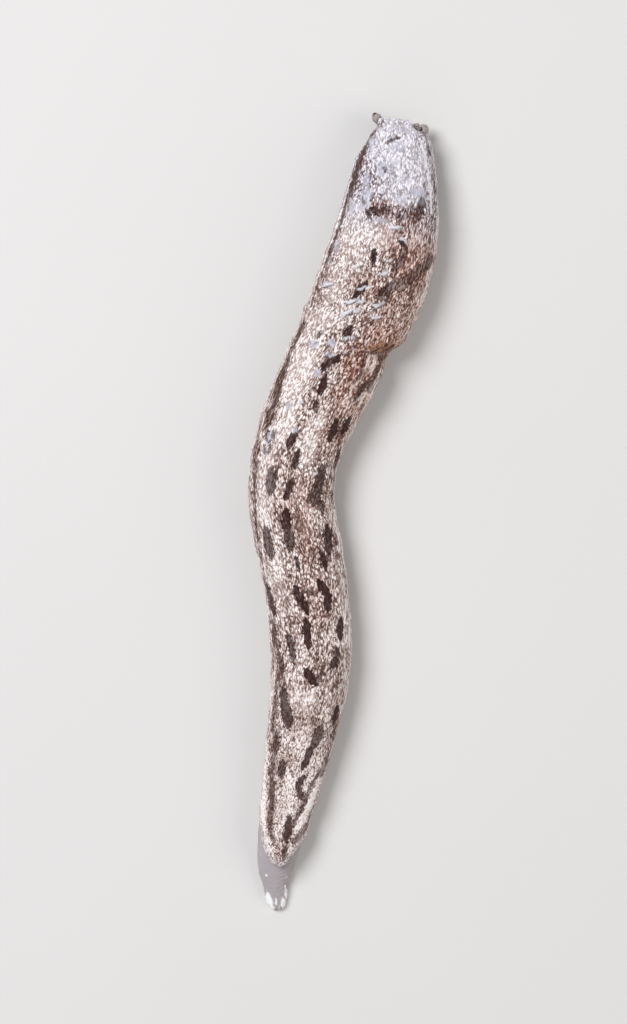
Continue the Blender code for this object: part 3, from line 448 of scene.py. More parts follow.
class SlugColours(bpy.types.PropertyGroup):
    """Colours of the skin, the eyes and the floor, as linear light."""

    pale: colour("Pale skin", "Grains of the back", (0.95, 0.865, 0.84))
    cool: colour("Cool skin", "Grains of the hood", (0.88, 0.85, 0.91))
    tan: colour("Tan skin", "Half-tones between the grains and the furrows", (0.5, 0.385, 0.345))
    furrow: colour("Furrows", "Brown between the grains", (0.15, 0.08, 0.065))
    rust: colour("Rust", "Furrows of the warm right shoulder", (0.19, 0.06, 0.04))
    # Bands: partly the skin's own banding, partly painted shade on the hood's flanks and inside the margins
    band: colour("Bands", "Dark bands inside the pale margins", (0.058, 0.024, 0.018))
    blotch: colour("Blotches", "Dark marks on the back", (0.034, 0.011, 0.01))
    warm: colour("Warm flush", "Tinge of the right shoulder", (0.6, 0.4, 0.33))
    streak: colour("Streaks", "Stretched skin at the fold", (0.43, 0.22, 0.12))
    cleft: colour("Clefts", "Shade in the folds", (0.04, 0.016, 0.01))
    # Film colour: a painted reflection of the sky on the wet skin
    film_and_sheen: colour("Film of water", "Smooth wet skin that shows the sky", (0.5, 0.49, 0.56))
    glint: colour("Glints", "Wet crests that mirror the sky", (0.76, 0.75, 0.8))
    foot: colour("Foot", "Sides of the foot", (0.6, 0.53, 0.49))
    # Sole colour: painted shade, the foot darker towards the floor
    sole: colour("Sole", "Underside of the foot", (0.5, 0.44, 0.4))
    tail: colour("Tail", "Bare tail", (0.4, 0.36, 0.375))
    head: colour("Head", "Snout and neck", (0.42, 0.35, 0.315))
    tentacle: colour("Tentacles", "Skin of the tentacles", (0.43, 0.38, 0.37))
    # Colour of the tail's white mucus, partly painted glare
    slime_and_glare: colour("Slime", "Slime at the tip of the tail", (0.98, 0.98, 0.98))
    # Pore colour: painted shade inside the breathing pore's hollow
    pore: colour("Pore", "Inside of the breathing pore", (0.012, 0.006, 0.006))
    eye: colour("Eyes", "Eyeballs", (0.008, 0.007, 0.008))
    eye_depth: colour("Depth of the eyes", "Lighter depths of the eyeballs", (0.02, 0.012, 0.012))
    floor: colour("Floor", "Studio floor", (0.7, 0.68, 0.66))


def ease(value, low, high):
    t = np.clip((value - low) / (high - low), 0.0, 1.0)
    return t * t * (3 - 2 * t)


def hump(value, low, high):
    """Rises from 0 at low to 1 midway and falls to 0 at high."""
    return np.sin(np.pi * np.clip((value - low) / (high - low), 0.0, 1.0)) ** 2


def size_along(knots):
    """A smooth size along the body that never swings past its own knots."""
    x, y = np.array(knots, float).T
    step, slope = np.diff(x), np.diff(y) / np.diff(x)
    tangent = np.zeros(len(x))
    tangent[0], tangent[-1] = slope[0], slope[-1]
    for i in range(1, len(x) - 1):
        if slope[i - 1] * slope[i] > 0:
            left, right = 2 * step[i] + step[i - 1], step[i] + 2 * step[i - 1]
            tangent[i] = (left + right) / (left / slope[i - 1] + right / slope[i])

    def value(s):
        s = np.clip(s, x[0], x[-1])
        i = np.clip(np.searchsorted(x, s, side="right") - 1, 0, len(x) - 2)
        t = (s - x[i]) / step[i]
        near = (1 + 2 * t) * (1 - t) ** 2 * y[i] + t * (1 - t) ** 2 * step[i] * tangent[i]
        return near + t * t * (3 - 2 * t) * y[i + 1] + t * t * (t - 1) * step[i] * tangent[i + 1]

    return value


def natural_spline(knots, values):
    """A curve of continuous bend through the values given at the knots."""
    count = len(knots)
    step = np.diff(knots)
    system, right = np.eye(count), np.zeros(count)
    for i in range(1, count - 1):
        system[i, i - 1:i + 2] = step[i - 1], 2 * (step[i - 1] + step[i]), step[i]
        right[i] = 6 * ((values[i + 1] - values[i]) / step[i] - (values[i] - values[i - 1]) / step[i - 1])
    bend = np.linalg.solve(system, right)

    def value(t):
        i = np.clip(np.searchsorted(knots, t) - 1, 0, count - 2)
        d = step[i]
        a, b = (knots[i + 1] - t) / d, (t - knots[i]) / d
        curve = (a**3 - a) * bend[i] + (b**3 - b) * bend[i + 1]
        return a * values[i] + b * values[i + 1] + curve * d * d / 6

    return value


class BodyLine:
    """The body line, read by the distance travelled along it, in mm."""

    SAMPLES = 4000

    def __init__(self, points):
        points = np.array(points, float) + BODY_SHIFT
        chord = np.r_[0.0, np.cumsum(np.hypot(*np.diff(points, axis=0).T))]
        fine = np.linspace(0.0, chord[-1], self.SAMPLES)
        self.x = natural_spline(chord, points[:, 0])(fine)
        self.y = natural_spline(chord, points[:, 1])(fine)
        self.travel = np.r_[0.0, np.cumsum(np.hypot(np.diff(self.x), np.diff(self.y)))]
        way = np.gradient(np.c_[self.x, self.y], axis=0)
        self.way = way / np.hypot(*way.T)[:, None]

    def at(self, s):
        """Places on the line and the unit way from the head towards the tail."""
        s = np.asarray(s, float)
        inside = np.clip(s, 0.0, self.travel[-1])
        way = np.stack([np.interp(inside, self.travel, self.way[:, k]) for k in (0, 1)], -1)
        way = way / np.linalg.norm(way, axis=-1, keepdims=True)
        place = np.stack([np.interp(inside, self.travel, line) for line in (self.x, self.y)], -1)
        return place + (s - inside)[..., None] * way, way

    def place(self, s, across, height):
        """Points in mm: across is to the animal's right, height is above the floor."""
        spot, way = self.at(s)
        flat = spot + np.stack([-way[..., 1], way[..., 0]], -1) * np.asarray(across, float)[..., None]
        return np.concatenate([flat, np.broadcast_to(height, flat.shape[:-1])[..., None]], -1)

    def locate(self, flat):
        """How far along the body and across it the points lie that are seen from above."""
        s = np.interp(-flat[:, 1], -self.y, self.travel)
        for _ in range(6):
            spot, way = self.at(s)
            s = s + np.sum((flat - spot) * way, -1)
        spot, way = self.at(s)
        return s, np.sum((flat - spot) * np.stack([-way[:, 1], way[:, 0]], -1), -1)


line = BodyLine(BODY_LINE)
half_width = size_along(HALF_WIDTH)
mantle_end = size_along(MANTLE_END_HALF_WIDTH)
mantle_drift = size_along(MANTLE_DRIFT)
margin_lift = size_along(MARGIN_LIFT)
right_pinch = size_along(RIGHT_PINCH)
head_top = size_along(HEAD_TOP)
back_height = size_along(BACK_HEIGHT)
lower_top = size_along(LOWER_TOP)
inset = size_along(INSET)
ledge_height = size_along(LEDGE_HEIGHT)
head_half_width = size_along(HEAD_HALF_WIDTH)


def from_photo(x, y):
    """The place in the frame, in mm, that a pixel of the photo shows."""
    x, y = np.asarray(x, float), np.asarray(y, float)
    return np.stack([
        (x - PHOTO_ZERO[0]) * PHOTO_SCALE + BODY_SHIFT[0],
        (PHOTO_ZERO[1] - y) * PHOTO_SCALE + BODY_SHIFT[1],
    ], -1)


def pinched(s, across):
    """The right side drawn in at the fold, most at the margin."""
    return np.where(across > 0, across * (1 - right_pinch(s) / half_width(s)), across)


def lower_half_width(s):
    return np.where(s <= HEAD_END, head_half_width(s), half_width(s) - inset(s))


def mantle_half_width(s):
    tapered = np.minimum(half_width(s), mantle_end(s))
    return np.where(s < MANTLE_END_HALF_WIDTH[0][0], half_width(s), tapered)


def margin_height(s):
    """Height of the mantle's lower edge."""
    reach = lower_half_width(s) + GAP
    rise = lower_top(s) - ledge_height(s) + GAP
    start = np.maximum(np.arcsin(GAP / rise), np.arccos(np.minimum(0.95 * mantle_half_width(s) / reach, 1.0)))
    start = np.maximum(start, np.radians(margin_lift(s)))
    return ledge_height(s) + rise * np.sin(start)


def broad_relief(s, side, sizes):
    """Height of the mantle's broad folds, in mm, where side runs from -1 at the left margin to 1."""
    wrinkles = hump(s + 1.2 * side, *WRINKLES)
    fold = sizes.wrinkle_depth * wrinkles * np.cos(2 * np.pi * (s + 0.9 * side * side) / WRINKLE_PITCH)
    hood = hump(s, *HOOD_WRINKLES) * (1.0 - 0.8 * ease(np.abs(side), 0.6, 0.95))
    fold += HOOD_WRINKLE_DEPTH * hood * np.cos(2 * np.pi * (s - 0.8 * side) / HOOD_WRINKLE_PITCH)
    fold += UNEVENNESS * np.sin(0.83 * s + 2.1 * side) * np.sin(1.37 * s - 3.3 * side)
    reach = ease(side, 0.0, 1.0)
    offset = (s - CREASE_START - CREASE_SLANT * (1.0 - side)) / CREASE_WIDTH
    fold -= sizes.crease_depth * reach * np.exp(-offset * offset)
    return fold + CREASE_SWELL * reach * np.exp(-((offset + 2.3) ** 2) / 1.6)


def read_points(mesh):
    points = np.empty(len(mesh.vertices) * 3, np.float32)
    mesh.vertices.foreach_get("co", points)
    return points.reshape(-1, 3).astype(float)


def write_points(mesh, points):
    mesh.vertices.foreach_set("co", np.ascontiguousarray(points, np.float32).ravel())
    mesh.update()


def only(item):
    """Makes one object the only selected and active one."""
    bpy.ops.object.select_all(action="DESELECT")
    item.select_set(True)
    bpy.context.view_layer.objects.active = item


def roll_skin(name, points):
    """Rolls a grid into a closed body: points is rings of points, each ring a loop, in mm."""
    rows, columns = points.shape[:2]
    bpy.ops.mesh.primitive_grid_add(x_subdivisions=columns, y_subdivisions=rows - 1, size=1.0)
    item = bpy.context.object
    item.name = name
    flat = read_points(item.data)
    column = np.rint((flat[:, 0] + 0.5) * columns).astype(int) % columns
    row = np.rint((flat[:, 1] + 0.5) * (rows - 1)).astype(int)
    write_points(item.data, points[row, column])
    bpy.ops.object.mode_set(mode="EDIT")
    bpy.ops.mesh.select_all(action="SELECT")
    bpy.ops.mesh.remove_doubles(threshold=1e-4)
    bpy.ops.mesh.fill_holes(sides=0)
    bpy.ops.mesh.normals_make_consistent(inside=False)
    bpy.ops.object.mode_set(mode="OBJECT")
    return item


def superellipse(turn, squareness):
    power = 2 / squareness
    c, z = np.cos(turn), np.sin(turn)
    return np.sign(c) * np.abs(c) ** power, np.sign(z) * np.abs(z) ** power


def mantle_form(sizes):
    """The mantle: its arched back, its rounded lip and a plain underside."""
    s = np.r_[np.linspace(MANTLE_START, 3.0, 16)[:-1], np.linspace(3.0, 58.0, 240)[:-1],
              np.linspace(58.0, MANTLE_END, 24)][:, None]
    turn = np.linspace(np.pi, 0.0, 49)[None, :]
    width, margin = mantle_half_width(s), margin_height(s)
    across, rise = superellipse(turn, MANTLE_SQUARENESS)
    fold = broad_relief(s, across, sizes)
    hang = LIP_HANG * hump(s, 1.0, MANTLE_END + 1.0) ** 0.25
    margin = margin - hang
    c, z = np.cos(turn), np.sin(turn)
    back = mantle_drift(s) + width * across + fold * c
    lift = LIP_HEIGHT + hang * 0.5
    height = margin + lift + (back_height(s) - margin - lift) * rise + fold * z * ease(z, 0.0, 0.3)
    under, drop = np.array(UNDERSIDE).T[:, None, :]
    across = pinched(s, np.concatenate([back, mantle_drift(s) + width * under], 1))
    height = np.concatenate([height, margin + LIP_HEIGHT * drop], 1)
    points = line.place(np.broadcast_to(s, across.shape), across, height)
    nose, last = points[0], points[-1]
    rounded = []
    for back, share in NOSE_RINGS:
        ring = nose.mean(0) + (nose - nose.mean(0)) * share
        rounded.append(ring - back * np.array([*line.at(0.0)[1], 0.0]))
    tip = last.mean(0) + (last - last.mean(0)) * 0.5 + 0.04 * np.array([*line.at(MANTLE_END)[1], 0.0])
    return roll_skin("mantle", np.concatenate([rounded, points, tip[None]]))


def foot_form():
    """The sole, the fringe beside it, the ledge above and the body under the mantle, to the tail's tip."""
    s = np.r_[FOOT_START + 1.4 * np.linspace(0, 1, 12) ** 2, np.linspace(3.4, 60.0, 180)[1:],
              np.linspace(60.0, FOOT_END, 40)[1:]][:, None]
    into = np.clip((s - FOOT_START) / 1.3, 0.0, 1.0)
    rounding = np.sqrt(into * (2 - into))
    squeeze = 0.55 + 0.45 * ease(FOOT_END - s, 0.0, 2.2)
    width = half_width(s) * (0.5 + 0.5 * rounding)
    ledge = ledge_height(s) * (0.6 + 0.4 * rounding)
    reach = np.minimum(lower_half_width(s), 0.95 * width)
    shoulder = np.maximum(0.92 * width, (0.97 * width + reach) / 2)
    turn = np.linspace(0.0, np.pi, 25)[None, :]
    top = lower_top(s) - 0.02
    fringe = [(share * width, rise * squeeze) for share, rise in FRINGE]
    fringe += [
        (0.95 * width, 0.46 * squeeze * (0.6 + 0.4 * rounding)),
        (np.minimum(shoulder, 0.93 * width), 0.75 * ledge),
        (0.4 * shoulder + 0.6 * reach, ledge + SHOULDER_SWELL * rounding * squeeze),
    ]
    right = np.concatenate([x for x, z in fringe], 1), np.concatenate([z for x, z in fringe], 1)
    arc = reach * np.cos(turn), ledge + (top - ledge) * np.sin(turn)
    sole = SOLE_SHARE * width * np.linspace(-1, 1, 9)[None, 1:-1], np.zeros((len(s), 7))
    across = np.concatenate([right[0], arc[0], -right[0][:, ::-1], sole[0]], 1)
    height = np.concatenate([right[1], arc[1], right[1][:, ::-1], sole[1]], 1)
    points = line.place(np.broadcast_to(s, across.shape), pinched(s, across), height)
    last = points[-1]
    tip = last.mean(0) + (last - last.mean(0)) * 0.55
    return roll_skin("foot", np.concatenate([points, tip[None]]))


def head_ring(half, low, high, squareness):
    turn = 2 * np.pi * np.arange(HEAD_STEPS) / HEAD_STEPS
    across, rise = superellipse(turn, squareness)
    return np.stack([half * across, (low + high) / 2 + (high - low) / 2 * rise], -1)


def neck_ring(s):
    """An arc that fits under the mantle, with a flat floor over the foot."""
    reach, base, half = lower_half_width(s), ledge_height(s), HEAD_STEPS // 2
    turn = np.pi * np.arange(half + 1) / half
    across = reach * np.cos(turn)
    across[[0, -1]] *= 0.955
    height = np.maximum(base + (head_top(s) - base) * np.sin(turn), HEAD_FLOOR)
    floor = SOLE_SHARE * reach * (2 * np.arange(1, half) / half - 1)
    return np.stack([np.r_[across, floor], np.r_[height, np.full(half - 1, HEAD_FLOOR)]], -1)


def head_form():
    """Snout with lips round the mouth, cheeks, and the neck that runs in under the hood."""
    mouth, lips, middle = MOUTH_HALF_WIDTH, LIPS_HALF_WIDTH, MOUTH_HEIGHT
    front = [
        (0.14, 0.6 * mouth, middle - 0.03, middle + 0.03), (0.07, mouth, middle - 0.07, middle + 0.07),
        (0.01, (mouth + lips) / 2, middle - 0.16, middle + 0.17),
        (0.03, 0.95 * lips, middle - 0.22, middle + 0.26),
        (0.1, 1.14 * lips, CHIN_HEIGHT + 0.01, middle + 0.36), (0.16, 0.9, CHIN_HEIGHT, 1.2),
        (0.24, 1.0, CHIN_HEIGHT, 1.44),
    ]
    rings = [(SNOUT_START + back, head_ring(half, low, high, 2.1)) for back, half, low, high in front]
    for s in HEAD_STATIONS:
        low = CHIN_HEIGHT + (HEAD_FLOOR - CHIN_HEIGHT) * ease(s, CHIN_END, THROAT_END)
        snout = head_ring(head_half_width(s), low, head_top(s), 2.3)
        rings.append((s, snout + (neck_ring(s) - snout) * ease(s, 0.8, THROAT_END)))
    return roll_skin("head", np.stack([line.place(np.full(len(r), s), r[:, 0], r[:, 1]) for s, r in rings]))


def heading(forward, right, up):
    """A direction given in the animal's own forward, right and up."""
    way = line.at(0.0)[1]
    aim = np.array([-way[0] * forward - way[1] * right, -way[1] * forward + way[0] * right, up])
    return aim / np.linalg.norm(aim)


def turned_form(name, profile, root, aim, columns=28):
    """A body turned round its own axis from (distance, radius) pairs."""
    profile = np.array(profile, float)
    one = np.cross(aim, (0.0, 0.0, 1.0))
    one /= np.linalg.norm(one)
    turn = 2 * np.pi * np.arange(columns) / columns
    round_it = np.outer(np.cos(turn), one) + np.outer(np.sin(turn), np.cross(aim, one))
    points = root + profile[:, 0, None, None] * aim + profile[:, 1, None, None] * round_it
    return roll_skin(name, points)


def upper_tentacle_place(side):
    """Root and aim of an upper tentacle, how far out its swollen end's middle is, and that end's radius."""
    spot, way, length, bulb = UPPER_TENTACLES[side]
    root, aim = line.place(*spot), heading(*way)
    return root, aim, length - bulb, bulb


def upper_tentacle_forms():
    forms = []
    for side in UPPER_TENTACLES:
        root, aim, middle, bulb = upper_tentacle_place(side)
        profile = [(-0.25, 0.01), (-0.2, 0.3), (0.0, 1.06 * UPPER_ROOT_RADIUS)]
        profile.append((0.4 * middle, UPPER_ROOT_RADIUS))
        for turn in np.linspace(0.72 * np.pi, 0.02, 14):
            profile.append((middle + bulb * math.cos(turn), bulb * math.sin(turn)))
        forms.append(turned_form(f"tentacle_{side}", profile, root, aim))
    return forms


def lower_tentacle_forms():
    forms = []
    along, across, height = LOWER_TENTACLE_ROOT
    for sign in (-1, 1):
        root = line.place(along, sign * across, height)
        aim = heading(LOWER_TENTACLE_WAY[0], sign * LOWER_TENTACLE_WAY[1], LOWER_TENTACLE_WAY[2])
        reach = LOWER_LENGTH - LOWER_RADIUS * 0.8
        profile = [(-0.3, 0.01), (-0.25, 0.24), (0.0, 0.26), (0.12, 0.235)]
        for turn in np.linspace(0.62 * np.pi, 0.02, 10):
            forward = reach + 0.8 * LOWER_RADIUS * math.cos(turn)
            profile.append((forward, LOWER_RADIUS * 0.92 * math.sin(turn)))
        forms.append(turned_form("feeler", profile, root, aim, 20))
    return forms


def apply(item, kind, **settings):
    """Adds a modifier, sets it and applies it."""
    only(item)
    modifier = item.modifiers.new(kind.lower(), kind)
    for name, value in settings.items():
        setattr(modifier, name, value)
    bpy.ops.object.modifier_apply(modifier=modifier.name)


def drop_bubbles(item):
    """Deletes the bubbles, a voxel wide, that the remesh leaves apart from the skin."""
    only(item)
    bpy.ops.object.mode_set(mode="EDIT")
    bpy.ops.mesh.select_mode(type="VERT")
    bpy.ops.mesh.select_all(action="DESELECT")
    bpy.ops.object.mode_set(mode="OBJECT")
    tail_end = int(read_points(item.data)[:, 1].argmin())
    item.data.vertices[tail_end].select = True
    bpy.ops.object.mode_set(mode="EDIT")
    bpy.ops.mesh.select_linked()
    bpy.ops.mesh.select_all(action="INVERT")
    bpy.ops.mesh.delete(type="VERT")
    bpy.ops.object.mode_set(mode="OBJECT")


def refine_head(item, trees):
    """Halves the mesh over the head, its tentacles and the hood's front, and fits the head's own form."""
    points = read_points(item.data)
    along, _ = line.locate(points[:, :2])
    chosen = (along < FINE_END) & (points[:, 2] > FINE_FLOOR)
    mesh = item.data
    corners = np.empty(len(mesh.loops), np.int32)
    mesh.loops.foreach_get("vertex_index", corners)
    starts = np.empty(len(mesh.polygons), np.int32)
    mesh.polygons.foreach_get("loop_start", starts)
    only(item)
    bpy.ops.object.mode_set(mode="EDIT")
    bpy.ops.mesh.select_mode(type="FACE")
    bpy.ops.mesh.select_all(action="DESELECT")
    bpy.ops.object.mode_set(mode="OBJECT")
    mesh.polygons.foreach_set("select", np.logical_and.reduceat(chosen[corners], starts))
    bpy.ops.object.mode_set(mode="EDIT")
    bpy.ops.mesh.subdivide(number_cuts=1)
    bpy.ops.object.mode_set(mode="OBJECT")
    points = read_points(item.data)
    along, _ = line.locate(points[:, :2])
    for i in np.flatnonzero(along < FINE_END):
        nearest = [(trees[name].find_nearest(points[i]), name) for name in HEAD_PARTS]
        (spot, _, _, away), _ = min(nearest, key=lambda found: found[0][3])
        if away < FINE_REACH:
            points[i] = spot
    write_points(item.data, points)
    apply(item, "SMOOTH", factor=0.5, iterations=1)


def thin(item, triangles):
    """Merges the flattest faces until so many triangles are left."""
    apply(item, "TRIANGULATE")
    ratio = triangles / len(item.data.polygons)
    if ratio < 1:
        apply(item, "DECIMATE", ratio=ratio)


def keep_inside(item):
    """Holds the skin within the solids' box."""
    low, high = (np.array(corner) / MM for corner in CAD_BOX)
    write_points(item.data, np.clip(read_points(item.data), low + BOX_MARGIN, high - BOX_MARGIN))


def join(items, name):
    bpy.ops.object.select_all(action="DESELECT")
    for item in items:
        item.select_set(True)
    bpy.context.view_layer.objects.active = items[0]
    if len(items) > 1:
        bpy.ops.object.join()
    joined = bpy.context.object
    joined.name = joined.data.name = name
    return joined


def scramble(cell, salt):
    """Random numbers from 0 to 1, each belonging to its whole-numbered cell."""
    cell = cell.astype(np.uint32)
    mixed = np.uint32((salt * 2654435761) % 2**32)
    for column, factor in zip(cell.T, (73856093, 19349663, 83492791)):
        mixed = mixed ^ column * np.uint32(factor)
    for shift, factor in ((16, 0x7FEB352D), (15, 0x846CA68B), (16, 1)):
        mixed = (mixed ^ (mixed >> np.uint32(shift))) * np.uint32(factor)
    return mixed / 2**32


def noise(points, salt=0):
    """Smooth noise from -1 to 1, with a period of about one unit."""
    base = np.floor(points)
    part = points - base
    part = part * part * (3 - 2 * part)
    total = np.zeros(len(points))
    for corner in itertools.product((0, 1), repeat=3):
        weight = np.prod(np.where(corner, part, 1 - part), axis=1)
        total += weight * scramble((base + corner).astype(np.int64), salt)
    return 2 * total - 1


def cells(points, salt=0):
    """How far a point is inside its cell of a loose honeycomb, and how near the cell's middle."""
    base = np.floor(points).astype(np.int64)
    near, second = np.full(len(points), 9.0), np.full(len(points), 9.0)
    for corner in itertools.product((-1, 0, 1), repeat=3):
        cell = base + corner
        middle = cell + np.stack([scramble(cell, salt + k) for k in range(3)], -1)
        distance = np.linalg.norm(middle - points, axis=1)
        second = np.minimum(second, np.maximum(near, distance))
        near = np.minimum(near, distance)
    return second - near, near


class Skin:
    """The skin's points with their places along, across and above the body, in mm."""

    def __init__(self, item, trees):
        self.mesh = item.data
        self.points = read_points(self.mesh)
        normals = np.empty(len(self.points) * 3, np.float32)
        self.mesh.vertex_normals.foreach_get("vector", normals)
        self.normals = normals.reshape(-1, 3).astype(float)
        self.along, self.across = line.locate(self.points[:, :2])
        self.height = self.points[:, 2]
        self.place = np.stack([self.across, self.along, self.height], -1)
        self.away = {}
        for name, tree in trees.items():
            self.away[name] = np.array([tree.find_nearest(point)[3] for point in self.points])
        self.width = np.maximum(mantle_half_width(self.along), 0.3)
        self.side = np.clip((self.across - mantle_drift(self.along)) / self.width, -1.0, 1.0)
        self.margin = margin_height(self.along)
        self.round = self.over_back(self.along, self.across, self.height)
        self.relief = np.zeros(len(self.points))
        self.mantle, self.foot, self.head = (self.share(name) for name in ("mantle", "foot", "head"))
        self.upper, self.lower = self.share("upper_tentacles"), self.share("lower_tentacles")
        self.tail = self.foot * ease(self.along, *TAIL_ONSET) * ease(self.height, 0.2, 0.7)
        self.broad = noise(self.place * (0.45, 0.22, 0.45), 3)
        self.fine = noise(self.place * (2.1, 0.9, 2.1), 4)

    def share(self, name, softness=0.1):
        """1 on the skin of one form and 0 on that of the others, with a soft edge."""
        others = np.min([away for other, away in self.away.items() if other != name], axis=0)
        return ease(others - self.away[name], -softness, softness)

    @staticmethod
    def over_back(along, across, height=None):
        """Distance to the right of the middle line, as seen from above and then down the flank, in mm."""
        width = np.maximum(mantle_half_width(along), 0.3)
        width = np.where(across > 0, width * (1 - right_pinch(along) / half_width(along)), width)
        off = across - mantle_drift(along)
        over = np.maximum(np.abs(off) - FLANK_SHARE * width, 0.0)
        if height is None:
            return np.sign(off) * (np.abs(off) + over)
        low = margin_height(along) + LIP_HEIGHT
        turn_height = (1 - FLANK_SHARE**MANTLE_SQUARENESS) ** (1 / MANTLE_SQUARENESS)
        drop = np.maximum(low + (back_height(along) - low) * turn_height - height, 0.0)
        flank = np.hypot(over, drop)
        return np.sign(off) * np.where(over > 0, FLANK_SHARE * width + flank, np.abs(off))

    def from_stroke(self, x1, y1, x2, y2):
        """Distance over the skin from a stroke between two places in the photo, and the share along it."""
        ends, across = line.locate(from_photo([x1, x2], [y1, y2]))
        width = mantle_half_width(ends) * MARK_SHARE
        start, end = np.stack([ends, self.over_back(ends, np.clip(across, -width, width))], -1)
        here = np.stack([self.along, self.round], -1)
        run = end - start
        share = np.clip((here - start) @ run / max(run @ run, 1e-9), 0.0, 1.0)
        return np.linalg.norm(here - start - share[:, None] * run, axis=1), share

    def in_spot(self, x, y, half_wide, half_long):
        """1 in the middle of a spot of the photo and 0 at its edge and beyond."""
        middle, across = line.locate(from_photo([x], [y]))
        wide, tall = half_wide * PHOTO_SCALE, half_long * PHOTO_SCALE
        away = np.hypot((self.along - middle) / tall, (self.across - across) / wide)
        return ease(away, 1.3, 0.5)

    def raise_by(self, amount):
        self.points = self.points + self.normals * amount[:, None]

    def keep(self, name, values):
        """Stores one number for each point, for the material to read."""
        values = np.asarray(values, np.float32)
        kind = "FLOAT" if values.ndim == 1 else "FLOAT_VECTOR"
        layer = self.mesh.attributes.new(name, kind, "POINT")
        layer.data.foreach_set("value" if kind == "FLOAT" else "vector", values.ravel())


def blotch_field(skin):
    """Depth inside the nearest mark, in mm, below 0 outside, and that mark's darkness."""
    depth, dark = np.full(len(skin.along), -2.0), np.zeros(len(skin.along))
    for x1, y1, x2, y2, width, strength in BLOTCHES:
        reach = MARK_POINT * width / max(math.hypot(x2 - x1, y2 - y1), 1.0)
        ends = x1 + reach * (x1 - x2), y1 + reach * (y1 - y2), x2 + reach * (x2 - x1), y2 + reach * (y2 - y1)
        away, share = skin.from_stroke(*ends)
        taper = 1.0 - 0.75 * np.abs(2 * share - 1) ** 3
        inside = 0.5 * width * PHOTO_SCALE * taper - away
        closer = inside > depth
        depth, dark = np.where(closer, inside, depth), np.where(closer, strength, dark)
    return depth, dark


def lines_field(skin, lines):
    """Depth inside the nearest of the drawn lines, in mm, below 0 outside."""
    depth = np.full(len(skin.along), -2.0)
    for places in lines:
        for (x1, y1, w1), (x2, y2, w2) in zip(places, places[1:]):
            away, share = skin.from_stroke(x1, y1, x2, y2)
            depth = np.maximum(depth, 0.5 * (w1 + (w2 - w1) * share) * PHOTO_SCALE - away)
    return depth


def drawn(skin, lines, rough=0.0, salt=0):
    """1 inside the drawn lines and 0 beyond their soft, uneven edge."""
    depth = lines_field(skin, lines)
    return ease(depth + rough * noise(skin.place * (7.0, 5.0, 7.0), salt), -0.07, 0.05)


def spots(skin, places):
    """The strongest of the spots at each point: x, y, half width, half length and, if given, strength."""
    return np.max([
        skin.in_spot(*place[:4]) * (place[4] if len(place) > 4 else 1.0) for place in places
    ], axis=0)


def water(skin):
    """Films of water on the mantle, coloured by a painted reflection of the sky, and mucus round the tail's
    tip with painted glare, both with torn edges.
    """
    ragged = noise(skin.place * (5.0, 3.2, 4.0), 5)
    film_and_sheen = spots(skin, FILM_AND_SHEEN_SPOTS)
    torn = 0.5 * ragged + 0.4 * noise(skin.place * (11.0, 6.0, 11.0), 19)
    film_and_sheen = ease(film_and_sheen + torn * (film_and_sheen > 0.02), 0.2, 0.9) * skin.mantle
    slime_and_glare = spots(skin, SLIME_AND_GLARE_SPOTS) * (1 - skin.mantle)
    torn = 0.3 * ragged + 0.3 * noise(skin.place * (9.0, 3.0, 9.0), 6)
    return film_and_sheen, ease(slime_and_glare + torn * (slime_and_glare > 0.02), 0.2, 0.75)


def work_mantle(skin, film_and_sheen, band, sizes):
    """Tubercles, long along the body and smaller towards both ends, and the furrows of the bands."""
    s, mantle = skin.along, skin.mantle
    stretch = 1.0 + 0.3 * ease(s, 8.0, 2.0) + 0.2 * ease(s, 54.0, 60.0)
    warp = np.stack([noise(skin.place * 1.3, k) for k in (11, 12, 13)], -1)
    ways = np.array([1 / sizes.tubercle_width, 1 / sizes.tubercle_length, 1 / sizes.tubercle_width])
    inside, near = cells((skin.place + 0.05 * warp) * ways * stretch[:, None], 21)
    tubercle = ease(inside, 0.0, 0.42) * (1.0 - 0.35 * near)
    smaller, _ = cells((skin.place + 0.03 * warp) * (7.0, 5.5, 7.0), 31)

    top = ease(skin.height - skin.margin, -0.05, 0.35)
    calm = (1.0 - 0.75 * film_and_sheen) * (1.0 - 0.65 * ease(np.abs(skin.side), 0.75, 0.95))
    calm *= 1.0 - 0.45 * ease(s, *REAR_ONSET)
    skin.relief += mantle * top * (tubercle - 1.0) * sizes.tubercle_height * calm
    skin.relief += mantle * (0.03 * skin.fine + 0.02 * skin.broad)
    skin.relief -= mantle * (1 - top) * 0.03
    skin.relief -= BAND_DEPTH * ease(band, -0.05, 0.15) * mantle
    return tubercle, ease(smaller, 0.0, 0.4)


def work_folds(skin):
    """Small folds, drawn one by one."""
    for x1, y1, x2, y2, width, rise in FOLDS:
        away, share = skin.from_stroke(x1, y1, x2, y2)
        worn = np.sin(np.pi * np.clip(0.12 + 0.76 * share, 0, 1))
        crest = np.exp(-((away / (0.5 * width * PHOTO_SCALE)) ** 2))
        skin.relief += (skin.mantle + skin.tail) * rise * worn * crest - 0.04 * rise * crest


